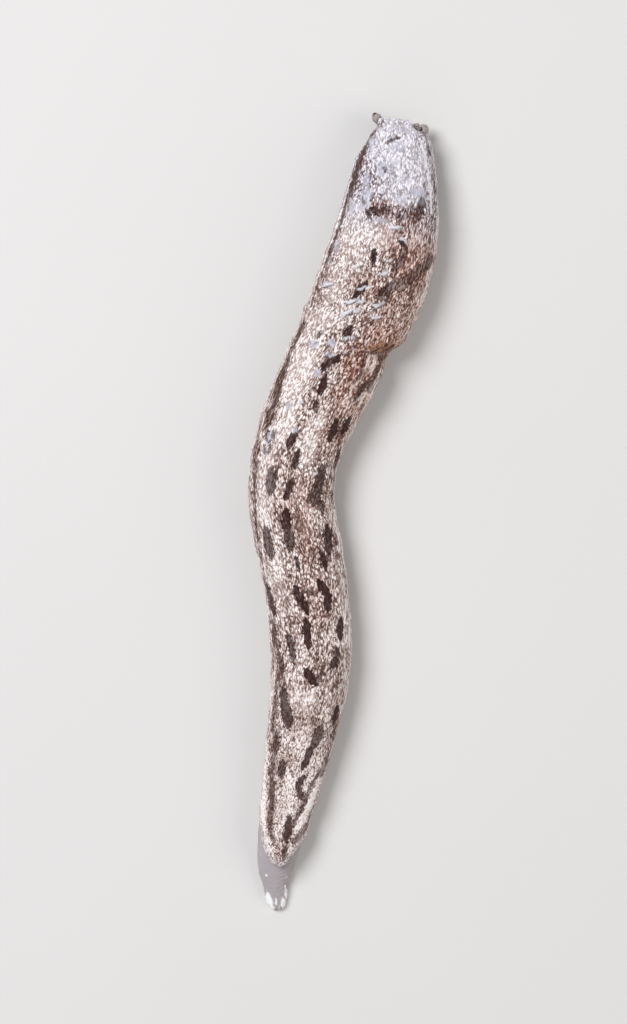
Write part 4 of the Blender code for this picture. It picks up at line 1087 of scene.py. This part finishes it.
def work_margins(skin, granule):
    """A wavy lip round the mantle, fine furrows down the foot's fringe and ridges across the tail."""
    s, tail, fine = skin.along, skin.tail, skin.fine
    lip = skin.mantle * hump(skin.height - skin.margin, -0.2, 0.55) * ease(np.abs(skin.side), 0.8, 0.95)
    waves = np.sin(2 * np.pi * s / LIP_WAVE_PITCH + 3 * fine) + 0.6 * noise(skin.place * (1, 1.9, 1), 8)
    skin.relief += lip * LIP_WAVE_HEIGHT * waves
    flank = ease(skin.height, 0.05, 0.3) * skin.foot
    ribs = np.abs(np.sin(np.pi * (s + 0.35 * skin.height + 0.2 * fine) / RIB_PITCH))
    skin.relief += flank * (1 - tail) * RIB_DEPTH * (ease(ribs, 0.0, 0.6) - 1.0)
    grit = 0.025 * (granule - 1.0) + 0.03 * noise(skin.place * (1, 0.8, 2), 9)
    skin.relief += flank * (1 - tail) * grit
    ridged = 0.012 + 0.024 * ease(skin.across, 0.2, 1.0)
    travel = s + 0.5 * np.abs(skin.across)
    skin.relief += tail * ridged * np.sin(2 * np.pi * travel / TAIL_RIDGE_PITCH + 2 * fine)
    skin.relief += tail * 0.03 * skin.broad - 0.01


def work_head(skin, granule):
    """Granules, a furrow down the snout, and rings round the upper tentacles."""
    head, height, s = skin.head, skin.height, skin.along
    skin.relief += head * 0.016 * (granule - 1.0)
    furrow = np.exp(-((skin.across / SNOUT_FURROW_WIDTH) ** 2))
    skin.relief -= head * SNOUT_FURROW_DEPTH * furrow * ease(height, 0.8, 1.0) * ease(s, 1.8, 0.9)
    skin.relief += (skin.upper + skin.lower) * 0.02 * (granule - 1.0)
    for name, sign in (("left", -1), ("right", 1)):
        root, aim, _, _ = upper_tentacle_place(name)
        down = (skin.points - root) @ aim
        rings = np.sin(2 * np.pi * down / TENTACLE_RING_PITCH)
        near = skin.upper * ease(sign * skin.across, 0.0, 0.2)
        skin.relief += near * TENTACLE_RING_HEIGHT * rings * ease(down, 0.75, 0.5)


def work_pore(skin):
    """The breathing pore, a slit with a raised rim: how far in it each point is, and the rim."""
    along, height, half_long, half_tall = PORE
    pore = np.hypot((skin.along - along) / half_long, (skin.height - height) / half_tall)
    pore = np.where((skin.across > 0) & (skin.mantle > 0.5), pore, 9.0)
    hollow, rim = ease(pore, 1.05, 0.35), np.exp(-(((pore - 1.35) / 0.3) ** 2))
    skin.relief += PORE_RIM_HEIGHT * rim - PORE_DEPTH * hollow
    return hollow, rim * (pore < 3)


def fold_round_eyes(skin):
    """A fold of skin round each eye."""
    for node in EYE_NODES:
        low, high = (np.array(corner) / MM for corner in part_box(node))
        centre, radius = (low + high) / 2, (high - low).mean() / 2
        away = np.linalg.norm(skin.points - centre, axis=1)
        ring = np.exp(-(((away - 1.1 * radius) / EYE_FOLD_WIDTH) ** 2)) * skin.upper
        skin.points += skin.normals * (EYE_FOLD_HEIGHT * ring)[:, None]


def store_drawing(skin):
    """Stores the marks, bands, lines and tinges that are drawn on the mantle, among them painted highlights
    and painted shade.
    """
    mantle, height = skin.mantle, skin.height
    depth, dark = blotch_field(skin)
    facing = 0.4 + 0.6 * ease(np.abs(skin.side), 0.99, 0.93)
    below = [[(x + 0.4, y + 1.9, 0.8 * width) for x, y, width in places] for places in GLINTS]
    skin.keep("blotch", np.clip(depth, -1, 1) * mantle - (1 - mantle))
    skin.keep("dark", dark)
    skin.keep("warmer", spots(skin, WARMER) * mantle)
    # Paler spots are partly painted highlight, fewer at the mantle's very edge; darker spots are partly
    # painted shade
    skin.keep("paler", spots(skin, PALER) * mantle * facing)
    skin.keep("darker", spots(skin, DARKER) * mantle)
    # Painted highlights on the ridges
    skin.keep("ridge_highlight", drawn(skin, RIDGE_HIGHLIGHTS, 0.05, 14) * mantle)
    skin.keep("streak", drawn(skin, STREAKS, 0.05, 15) * mantle * ease(height, 2.2, 2.9))
    skin.keep("cleft", drawn(skin, CLEFTS, 0.06, 16) * mantle * ease(height, 1.2, 2.0))
    skin.keep("glint", drawn(skin, GLINTS, 0.05, 17) * mantle)
    skin.keep("shade", drawn(skin, below, 0.06, 18) * mantle)


def store_regions(skin):
    """Stores which part of the animal each point is on, and where on that part."""
    mantle, s, side = skin.mantle, skin.along, np.abs(skin.side)
    above = skin.height - skin.margin
    ledge = ease(skin.height - ledge_height(s), -0.06, 0.08)
    end = ease(s, *TAIL_ONSET) * ease(side, 0.6, 1.0)
    low_edge = 0.3 + 0.7 * ease(above, 1.15, 0.4)
    skin.keep("body_place", skin.place)
    skin.keep("mantle", mantle)
    # Masks for painted shade: under the mantle's lip, and on the body between the foot's ledge and the mantle
    skin.keep("under", ease(above, 0.06, -0.04) * mantle)
    skin.keep("gap", (1 - mantle) * (1 - skin.tail) * skin.foot * ledge)
    skin.keep("tail", skin.tail)
    skin.keep("head", skin.head)
    skin.keep("tentacle", np.clip(skin.upper + skin.lower, 0, 1))
    # Painted shade: darker towards the floor
    skin.keep("sole", ease(skin.height, 0.12, 0.02))
    skin.keep("cool", mantle * ease(s, *HOOD_FADE))
    skin.keep("rear", mantle * ease(s, *REAR_ONSET))
    skin.keep("fading", mantle * np.clip(end + ease(s, 61.1, 62.0), 0, 1))
    skin.keep("flank", mantle * ease(side, 0.72, 0.9))
    skin.keep("rim", mantle * ease(side, 0.93, 0.985) * ease(above, -0.1, 0.15) * low_edge)


def work_skin(item, trees, sizes):
    """Works the relief into the even skin and stores what its colours need."""
    skin = Skin(item, trees)
    film_and_sheen, slime_and_glare = water(skin)
    band = lines_field(skin, BANDS)
    tubercle, granule = work_mantle(skin, film_and_sheen, band, sizes)
    work_folds(skin)
    work_margins(skin, granule)
    work_head(skin, granule)
    hollow, rim = work_pore(skin)
    skin.relief += slime_and_glare * SLIME_THICKNESS * (1 + 0.5 * skin.fine)
    skin.raise_by(skin.relief)
    fold_round_eyes(skin)
    write_points(item.data, skin.points)

    store_regions(skin)
    store_drawing(skin)
    mantle = skin.mantle
    skin.keep("tubercle", mantle * tubercle + (1 - mantle) * granule)
    skin.keep("band", np.clip(band, -1, 1) * mantle - (1 - mantle))
    skin.keep("film_and_sheen", film_and_sheen)
    skin.keep("slime_and_glare", slime_and_glare)
    skin.keep("pore_hollow", hollow)
    skin.keep("pore_rim", rim)


class Recipe:
    """Builds a material's nodes in few words."""

    def __init__(self, name):
        self.material = bpy.data.materials.new(name)
        self.material.use_nodes = True
        self.tree = self.material.node_tree
        self.shader = self.tree.nodes["Principled BSDF"]

    def node(self, kind, **settings):
        made = self.tree.nodes.new("ShaderNode" + kind)
        for name, value in settings.items():
            setattr(made, name, value)
        return made

    def feed(self, socket, value):
        """Links an output to a socket, or sets the socket to a plain value."""
        if isinstance(value, bpy.types.NodeSocket):
            self.tree.links.new(value, socket)
        elif hasattr(value, "__len__") and len(socket.default_value) == 4:
            socket.default_value = (*value, 1.0)
        else:
            socket.default_value = value

    def plus(self, value, *parts):
        """Adds the parts: each an output, or a pair of an output or a layer's name and its weight."""
        for part in parts:
            if isinstance(part, tuple):
                one, weight = part
                part = self.math("MULTIPLY", self.layer(one) if isinstance(one, str) else one, weight)
            value = self.math("ADD", value, part)
        return value

    def over(self, under, share, colour, strength=1.0):
        """Lays a colour over another by a share, an output or a layer's name, at some strength."""
        share = self.layer(share) if isinstance(share, str) else share
        if strength < 1.0:
            share = self.math("MULTIPLY", share, strength)
        return self.blend(share, under, colour)

    def layer(self, name, vector=False):
        read = self.node("Attribute", attribute_name=name)
        return read.outputs["Vector" if vector else "Fac"]

    def math(self, operation, one, other=0.0):
        made = self.node("Math", operation=operation)
        self.feed(made.inputs[0], one)
        self.feed(made.inputs[1], other)
        return made.outputs[0]

    def ramp(self, value, low, high, start=0.0, end=1.0):
        """Eases from start to end as the value goes from low to high."""
        made = self.node("MapRange", interpolation_type="SMOOTHSTEP")
        for socket, number in zip(made.inputs[:5], (value, low, high, start, end)):
            self.feed(socket, number)
        return made.outputs[0]

    def blend(self, share, one, other):
        made = self.node("Mix", data_type="RGBA")
        self.feed(made.inputs[0], share)
        self.feed(made.inputs[6], one)
        self.feed(made.inputs[7], other)
        return made.outputs[2]

    def between(self, share, one, other):
        made = self.node("Mix", data_type="FLOAT")
        for socket, value in zip(made.inputs[:1] + made.inputs[2:4], (share, one, other)):
            self.feed(socket, value)
        return made.outputs[0]

    def stretched(self, vector, scale):
        made = self.node("Mapping")
        self.feed(made.inputs["Vector"], vector)
        made.inputs["Scale"].default_value = scale
        return made.outputs["Vector"]

    def noise(self, vector, scale=1.0, detail=2.0, roughness=0.5, distortion=0.0):
        made = self.node("TexNoise")
        self.feed(made.inputs["Vector"], vector)
        for name, value in (("Scale", scale), ("Detail", detail), ("Roughness", roughness),
                            ("Distortion", distortion)):
            made.inputs[name].default_value = value
        return made.outputs["Fac"]

    def grains(self, vector):
        """Distance from the middle of each grain, and a tone of its own for each grain."""
        made = self.node("TexVoronoi", feature="F1")
        self.feed(made.inputs["Vector"], vector)
        made.inputs["Scale"].default_value = 1.0
        split = self.node("SeparateColor")
        self.feed(split.inputs[0], made.outputs["Color"])
        return made.outputs["Distance"], split.outputs[0]

    def warped(self, vector, scale, amount):
        """The place moved a little by smooth noise, by up to the amount."""
        sway = self.node("TexNoise")
        self.feed(sway.inputs["Vector"], self.stretched(vector, scale))
        sway.inputs["Scale"].default_value, sway.inputs["Detail"].default_value = 1.0, 1.0
        moved = self.node("VectorMath", operation="MULTIPLY_ADD")
        self.feed(moved.inputs[0], sway.outputs["Color"])
        moved.inputs[1].default_value = (2 * amount,) * 3
        self.feed(moved.inputs[2], vector)
        return moved.outputs[0]

    def bump(self, height, strength, distance):
        made = self.node("Bump")
        self.feed(made.inputs["Height"], height)
        made.inputs["Strength"].default_value = strength
        made.inputs["Distance"].default_value = distance
        return made.outputs["Normal"]

    def set(self, **values):
        for name, value in values.items():
            self.feed(self.shader.inputs[name.replace("_", " ")], value)


def speckle(r, noises, grain, tone):
    """How light the mantle's speckle is: near 0 in the furrows between its grains, near 1 on the palest."""
    worm = r.math("ABSOLUTE", r.math("SUBTRACT", noises["worm"], 0.5))
    # Paler spots (partly painted highlight) and the ridges (painted highlight) raise the paleness; darker
    # spots (partly painted shade) lower it
    light = r.plus(
        r.ramp(grain, 0.7, 0.1, 0.0, 0.5), (tone, 0.26), r.ramp(worm, 0.0, 0.08, -0.16, 0.08),
        r.ramp(noises["speck"], 0.3, 0.7, -0.22, 0.22), r.ramp(noises["patch"], 0.3, 0.7, -0.08, 0.08),
        ("tubercle", 0.12), ("paler", 0.2), ("darker", -0.16), ("warmer", -0.04), ("rim", 0.3),
        ("ridge_highlight", 0.34))
    # Towards the rear, dark dots on pale skin take the grains' place
    dots = r.plus(
        r.ramp(noises["dots"], 0.36, 0.54, -0.14, 0.63), ("paler", 0.12),
        r.ramp(noises["patch"], 0.3, 0.7, -0.1, 0.12), ("ridge_highlight", 0.22))
    return r.between(r.math("MULTIPLY", r.layer("rear"), 0.7), light, dots)


def mantle_ground(r, colours, noises, light, tone):
    """Furrows, half-tones and grains, warmer on the right shoulder and cooler on the hood."""
    warmer, deep = r.layer("warmer"), noises["deep"]
    own = r.ramp(r.plus(light, (tone, 0.2)), 0.58, 0.98, 0.95, 0.1)
    top = r.over(colours.pale, "cool", colours.cool, 0.8)
    top = r.over(top, r.math("MULTIPLY", warmer, own), colours.warm)
    half = r.over(r.over(colours.tan, warmer, colours.warm), "cool", colours.film_and_sheen, 0.7)
    low = r.over(colours.furrow, warmer, colours.rust, 0.9)
    low = r.over(low, r.ramp(deep, 0.38, 0.62, 0.0, 0.7), colours.band)
    low = r.over(low, r.ramp(deep, 0.5, 0.25, 0.0, 0.22), colours.tan)
    # Paler spots, partly painted highlight, lift the furrows towards half-tones
    low = r.over(low, r.ramp(r.layer("paler"), 0.0, 1.3, 0.0, 0.7), half)
    ground = r.over(low, r.ramp(light, 0.12, 0.42), half)
    return r.over(ground, r.ramp(light, 0.38, 0.74), top)


def mantle_marks(r, colours, noises, skin, light, pale):
    """Streaks, films, blotches and bands, their edges broken by the grain, and the lines of the folds:
    painted highlights on ridges and wet crests, painted shade in clefts and below the crests.
    """
    streak = r.math("MULTIPLY", r.layer("streak"), r.ramp(noises["speck"], 0.3, 0.6, 0.6, 0.95))
    skin = r.over(skin, streak, r.over(colours.streak, r.ramp(noises["deep"], 0.48, 0.6), colours.rust))
    # The films' colour, a painted reflection of the sky
    film_and_sheen = r.layer("film_and_sheen")
    skin = r.over(skin, r.math("MULTIPLY", film_and_sheen, r.ramp(light, 0.1, 0.55, 0.5, 0.85)), colours.film_and_sheen)

    shift = r.math("MULTIPLY", r.math("SUBTRACT", noises["edge"], 0.5), 0.62)
    shift = r.plus(shift, (r.math("SUBTRACT", pale, 0.4), -0.06))
    mark = r.ramp(r.math("ADD", r.layer("blotch"), shift), -0.12, 0.0)
    mark = r.math("MULTIPLY", mark, r.ramp(r.layer("dark"), 0.0, 1.0, 0.0, 0.985))
    skin = r.over(skin, mark, r.over(colours.blotch, pale, colours.furrow, 0.2))
    # The bands: partly the skin's own banding, partly painted shade
    band = r.ramp(r.plus(r.layer("band"), (shift, 1.3)), -0.14, 0.1)
    band = r.math("MULTIPLY", band, r.ramp(noises["worn"], 0.3, 0.6, 0.62, 0.95))
    skin = r.over(skin, band, r.over(colours.band, pale, colours.furrow, 0.75))

    # Painted highlights on the ridges, painted shade in the clefts and below the glints, the films' painted
    # sky reflection and the glints' painted highlights
    skin = r.over(skin, "ridge_highlight", colours.pale, 0.25)
    skin = r.over(skin, "cleft", colours.cleft, 0.8)
    skin = r.over(skin, film_and_sheen, colours.film_and_sheen, 0.25)
    skin = r.over(skin, "shade", colours.band, 0.7)
    skin = r.over(skin, "glint", colours.glint, 0.85)
    fading = r.math("MULTIPLY", r.layer("fading"), r.ramp(pale, 0.2, 0.9, 0.7, 0.15))
    return r.over(skin, fading, colours.tail)


def whole_skin(r, colours, place, grain, mantle):
    """Foot, head, tentacles, tail, pore and mucus beside the mantle's own colours, with painted shade under
    the mantle's lip, on the body between the foot's ledge and the mantle, low towards the floor and in the
    pore, and painted glare on the mucus.
    """
    mottle = r.noise(place, 2.2, 3.0, 0.6)
    freckle = r.ramp(r.noise(place, 4.5, 2.0, 0.6), 0.42, 0.62)
    veil = r.ramp(r.noise(place, 3.0, 3.0, 0.6), 0.35, 0.7, 0.0, 0.3)
    foot = r.over(colours.foot, r.ramp(mottle, 0.42, 0.68, 0.0, 0.5), colours.furrow)
    foot = r.over(foot, r.ramp(grain, 0.35, 0.65, 0.0, 0.35), colours.furrow)
    # Painted shade on the foot towards the floor
    foot = r.over(foot, "sole", colours.sole)
    skin = r.over(foot, "mantle", mantle)
    skin = r.over(skin, "head", r.over(colours.head, freckle, colours.furrow, 0.6))
    skin = r.over(skin, "tentacle", r.over(colours.tentacle, freckle, colours.furrow, 0.55))
    skin = r.over(skin, "tail", r.over(colours.tail, veil, colours.tentacle))
    # Painted shade under the mantle's lip and between the foot's ledge and the mantle
    skin = r.over(skin, "under", colours.furrow, 0.5)
    skin = r.over(skin, "gap", colours.furrow, 0.6)
    skin = r.over(skin, "pore_rim", colours.pale, 0.5)
    # Painted shade inside the breathing pore's hollow
    skin = r.over(skin, "pore_hollow", colours.pore)
    # White mucus, partly painted glare
    return r.over(skin, "slime_and_glare", colours.slime_and_glare, 0.9)


def skin_material(colours):
    """Wet, speckled skin: pale grains in brown furrows, dark marks with broken edges."""
    r = Recipe("wet_skin")
    place = r.layer("body_place", vector=True)
    bent = r.warped(place, SWAY, SWAY_REACH)
    noises = {}
    for name, (scale, *kind) in NOISES.items():
        noises[name] = r.noise(r.stretched(place if name in BROAD_NOISES else bent, scale), 1.0, *kind)
    grain, tone = r.grains(r.stretched(bent, GRAINS))
    long_grain, long_tone = r.grains(r.stretched(bent, LONG_GRAINS))
    flank = r.layer("flank")
    grain, tone = r.between(flank, grain, long_grain), r.between(flank, tone, long_tone)

    light = speckle(r, noises, grain, tone)
    pale = r.ramp(light, 0.12, 0.76)
    mantle = mantle_ground(r, colours, noises, light, tone)
    mantle = mantle_marks(r, colours, noises, mantle, light, pale)

    tail, wet = r.layer("tail"), r.math("MAXIMUM", r.layer("film_and_sheen"), r.layer("slime_and_glare"))
    rough = r.plus(r.ramp(pale, 0.0, 1.0, 0.5, 0.36), (tail, -0.1), (wet, -0.1))
    calm = r.math("MAXIMUM", wet, r.math("MULTIPLY", tail, 0.75))
    calm = r.math("MAXIMUM", calm, r.math("MULTIPLY", r.layer("head"), 0.5))
    height = r.plus(r.ramp(grain, 0.7, 0.1), (r.noise(place, 9.0, 2.0), 0.35))
    height = r.math("MULTIPLY", height, r.math("SUBTRACT", 1.0, r.math("MULTIPLY", calm, 0.85)))
    r.set(Base_Color=whole_skin(r, colours, place, grain, mantle), Roughness=rough)
    r.set(Normal=r.bump(height, 0.6, 0.04 * MM))
    r.set(Subsurface_Weight=0.1, Subsurface_Scale=0.5 * MM, Subsurface_Radius=(1.0, 0.55, 0.4))
    r.set(Coat_Weight=0.16, Coat_Roughness=0.1, IOR=1.33, Specular_IOR_Level=0.15)
    return r.material


def eye_material(colours):
    r = Recipe("dark_eye")
    place = r.node("TexCoord").outputs["Object"]
    depth = r.noise(place, 9.0 / MM, 2.0)
    r.set(Base_Color=r.blend(r.ramp(depth, 0.3, 0.7), colours.eye, colours.eye_depth))
    r.set(Roughness=r.ramp(depth, 0.3, 0.7, 0.12, 0.2), Coat_Weight=1.0, Coat_Roughness=0.03, IOR=1.4)
    return r.material


def floor_material(colours):
    r = Recipe("pale_floor")
    place = r.node("TexCoord").outputs["Object"]
    tone = r.noise(place, 30.0, 3.0)
    lighter = [min(1.0, 1.03 * part) for part in colours.floor]
    r.set(Base_Color=r.blend(tone, tuple(colours.floor), lighter), Roughness=0.85)
    return r.material


class SLUG_OT_skin(bpy.types.Operator):
    """Models the whole skin as one mesh, from the hood to the tail's tip"""

    bl_idname = "slug.skin"
    bl_label = "Skin"

    def execute(self, context):
        sizes, colours = context.scene.slug_sizes, context.scene.slug_colours
        bpy.ops.object.select_all(action="DESELECT")
        forms = {
            "mantle": [mantle_form(sizes)],
            "foot": [foot_form()],
            "head": [head_form()],
            "upper_tentacles": upper_tentacle_forms(),
            "lower_tentacles": lower_tentacle_forms(),
        }
        trees, joined = {}, []
        for name, items in forms.items():
            form = join(items, name)
            trees[name] = BVHTree.FromObject(form, context.evaluated_depsgraph_get())
            joined.append(form)
        item = join(joined, "slug_skin")
        apply(item, "REMESH", mode="VOXEL", voxel_size=sizes.grain, use_smooth_shade=True)
        drop_bubbles(item)
        apply(item, "SMOOTH", factor=0.5, iterations=3)
        refine_head(item, trees)
        work_skin(item, trees, sizes)
        thin(item, sizes.triangles)
        keep_inside(item)
        only(item)
        bpy.ops.transform.resize(value=(MM, MM, MM), center_override=(0.0, 0.0, 0.0))
        bpy.ops.object.transform_apply(location=True, rotation=True, scale=True)
        item.data.materials.clear()
        item.data.materials.append(skin_material(colours))
        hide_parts(*FLESH_NODES)
        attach(item, "root")
        return {"FINISHED"}


class SLUG_OT_eyes(bpy.types.Operator):
    """Sets a finer eyeball where each eye sits on its tentacle"""

    bl_idname = "slug.eyes"
    bl_label = "Eyes"

    def execute(self, context):
        look = eye_material(context.scene.slug_colours)
        for node in EYE_NODES:
            low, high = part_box(node)
            bpy.ops.object.select_all(action="DESELECT")
            bpy.ops.mesh.primitive_uv_sphere_add(segments=40, ring_count=24, radius=1.0)
            ball = bpy.context.object
            ball.name = ball.data.name = node.replace("eye", "eyeball")
            radius = (high - low).length / (2 * math.sqrt(3))
            ball.data.transform(Matrix.Translation((low + high) / 2) @ Matrix.Scale(radius, 4))
            bpy.ops.object.shade_smooth()
            ball.data.materials.append(look)
            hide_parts(node)
            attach(ball, "root")
        return {"FINISHED"}


class SLUG_OT_studio(bpy.types.Operator):
    """Lays the floor, sets the lights and hangs the camera over the animal"""

    bl_idname = "slug.studio"
    bl_label = "Studio"

    def execute(self, context):
        sizes, colours = context.scene.slug_sizes, context.scene.slug_colours
        bpy.ops.object.select_all(action="DESELECT")
        bpy.ops.mesh.primitive_circle_add(vertices=96, radius=sizes.floor_radius * MM, fill_type="NGON")
        floor = bpy.context.object
        floor.name = "floor"
        floor.data.materials.append(floor_material(colours))

        middle = Vector((*from_photo(PHOTO_WIDTH / 2, PHOTO_HEIGHT / 2), FRAMED_HEIGHT)) * MM
        for name, (spot, width, power, tone) in LAMPS.items():
            bpy.ops.object.light_add(type="AREA", location=spot)
            lamp = bpy.context.object
            lamp.name = name
            lamp.data.shape, lamp.data.size = "DISK", width
            lamp.data.energy, lamp.data.color = power, tone
            lamp.rotation_mode = "QUATERNION"
            lamp.rotation_quaternion = (Vector(spot) - middle).to_track_quat("Z", "Y")
        world = bpy.data.worlds.new("studio")
        world.use_nodes = True
        background = world.node_tree.nodes["Background"]
        background.inputs["Color"].default_value = WORLD_TONE
        background.inputs["Strength"].default_value = WORLD_STRENGTH
        context.scene.world = world
        context.scene.view_settings.view_transform = "Standard"

        bpy.ops.object.camera_add(location=(middle.x, middle.y, sizes.camera_height * MM), rotation=(0, 0, 0))
        camera = bpy.context.object
        span = PHOTO_HEIGHT * PHOTO_SCALE * MM
        camera.data.lens = camera.data.sensor_width * (camera.location.z - middle.z) / span
        camera.data.clip_start, camera.data.clip_end = 0.01, 10.0
        context.scene.camera = camera
        return {"FINISHED"}


class SLUG_PT_workshop(bpy.types.Panel):
    """Lists the sizes, the colours and the steps"""

    bl_idname = "SLUG_PT_workshop"
    bl_label = "Slug"
    bl_space_type = "VIEW_3D"
    bl_region_type = "UI"
    bl_category = "Slug"

    def draw(self, context):
        for group in (context.scene.slug_sizes, context.scene.slug_colours):
            box = self.layout.box()
            for name in group.bl_rna.properties.keys():
                if name not in ("rna_type", "name"):
                    box.prop(group, name)
        for step in (SLUG_OT_skin, SLUG_OT_eyes, SLUG_OT_studio):
            self.layout.operator(step.bl_idname)


CLASSES = (SlugSizes, SlugColours, SLUG_OT_skin, SLUG_OT_eyes, SLUG_OT_studio, SLUG_PT_workshop)


def register():
    for item in CLASSES:
        bpy.utils.register_class(item)
    bpy.types.Scene.slug_sizes = bpy.props.PointerProperty(type=SlugSizes)
    bpy.types.Scene.slug_colours = bpy.props.PointerProperty(type=SlugColours)


def unregister():
    del bpy.types.Scene.slug_sizes
    del bpy.types.Scene.slug_colours
    for item in reversed(CLASSES):
        bpy.utils.unregister_class(item)


def main():
    register()
    bpy.ops.slug.studio()
    bpy.ops.slug.skin()
    bpy.ops.slug.eyes()


if __name__ == "__main__":
    main()
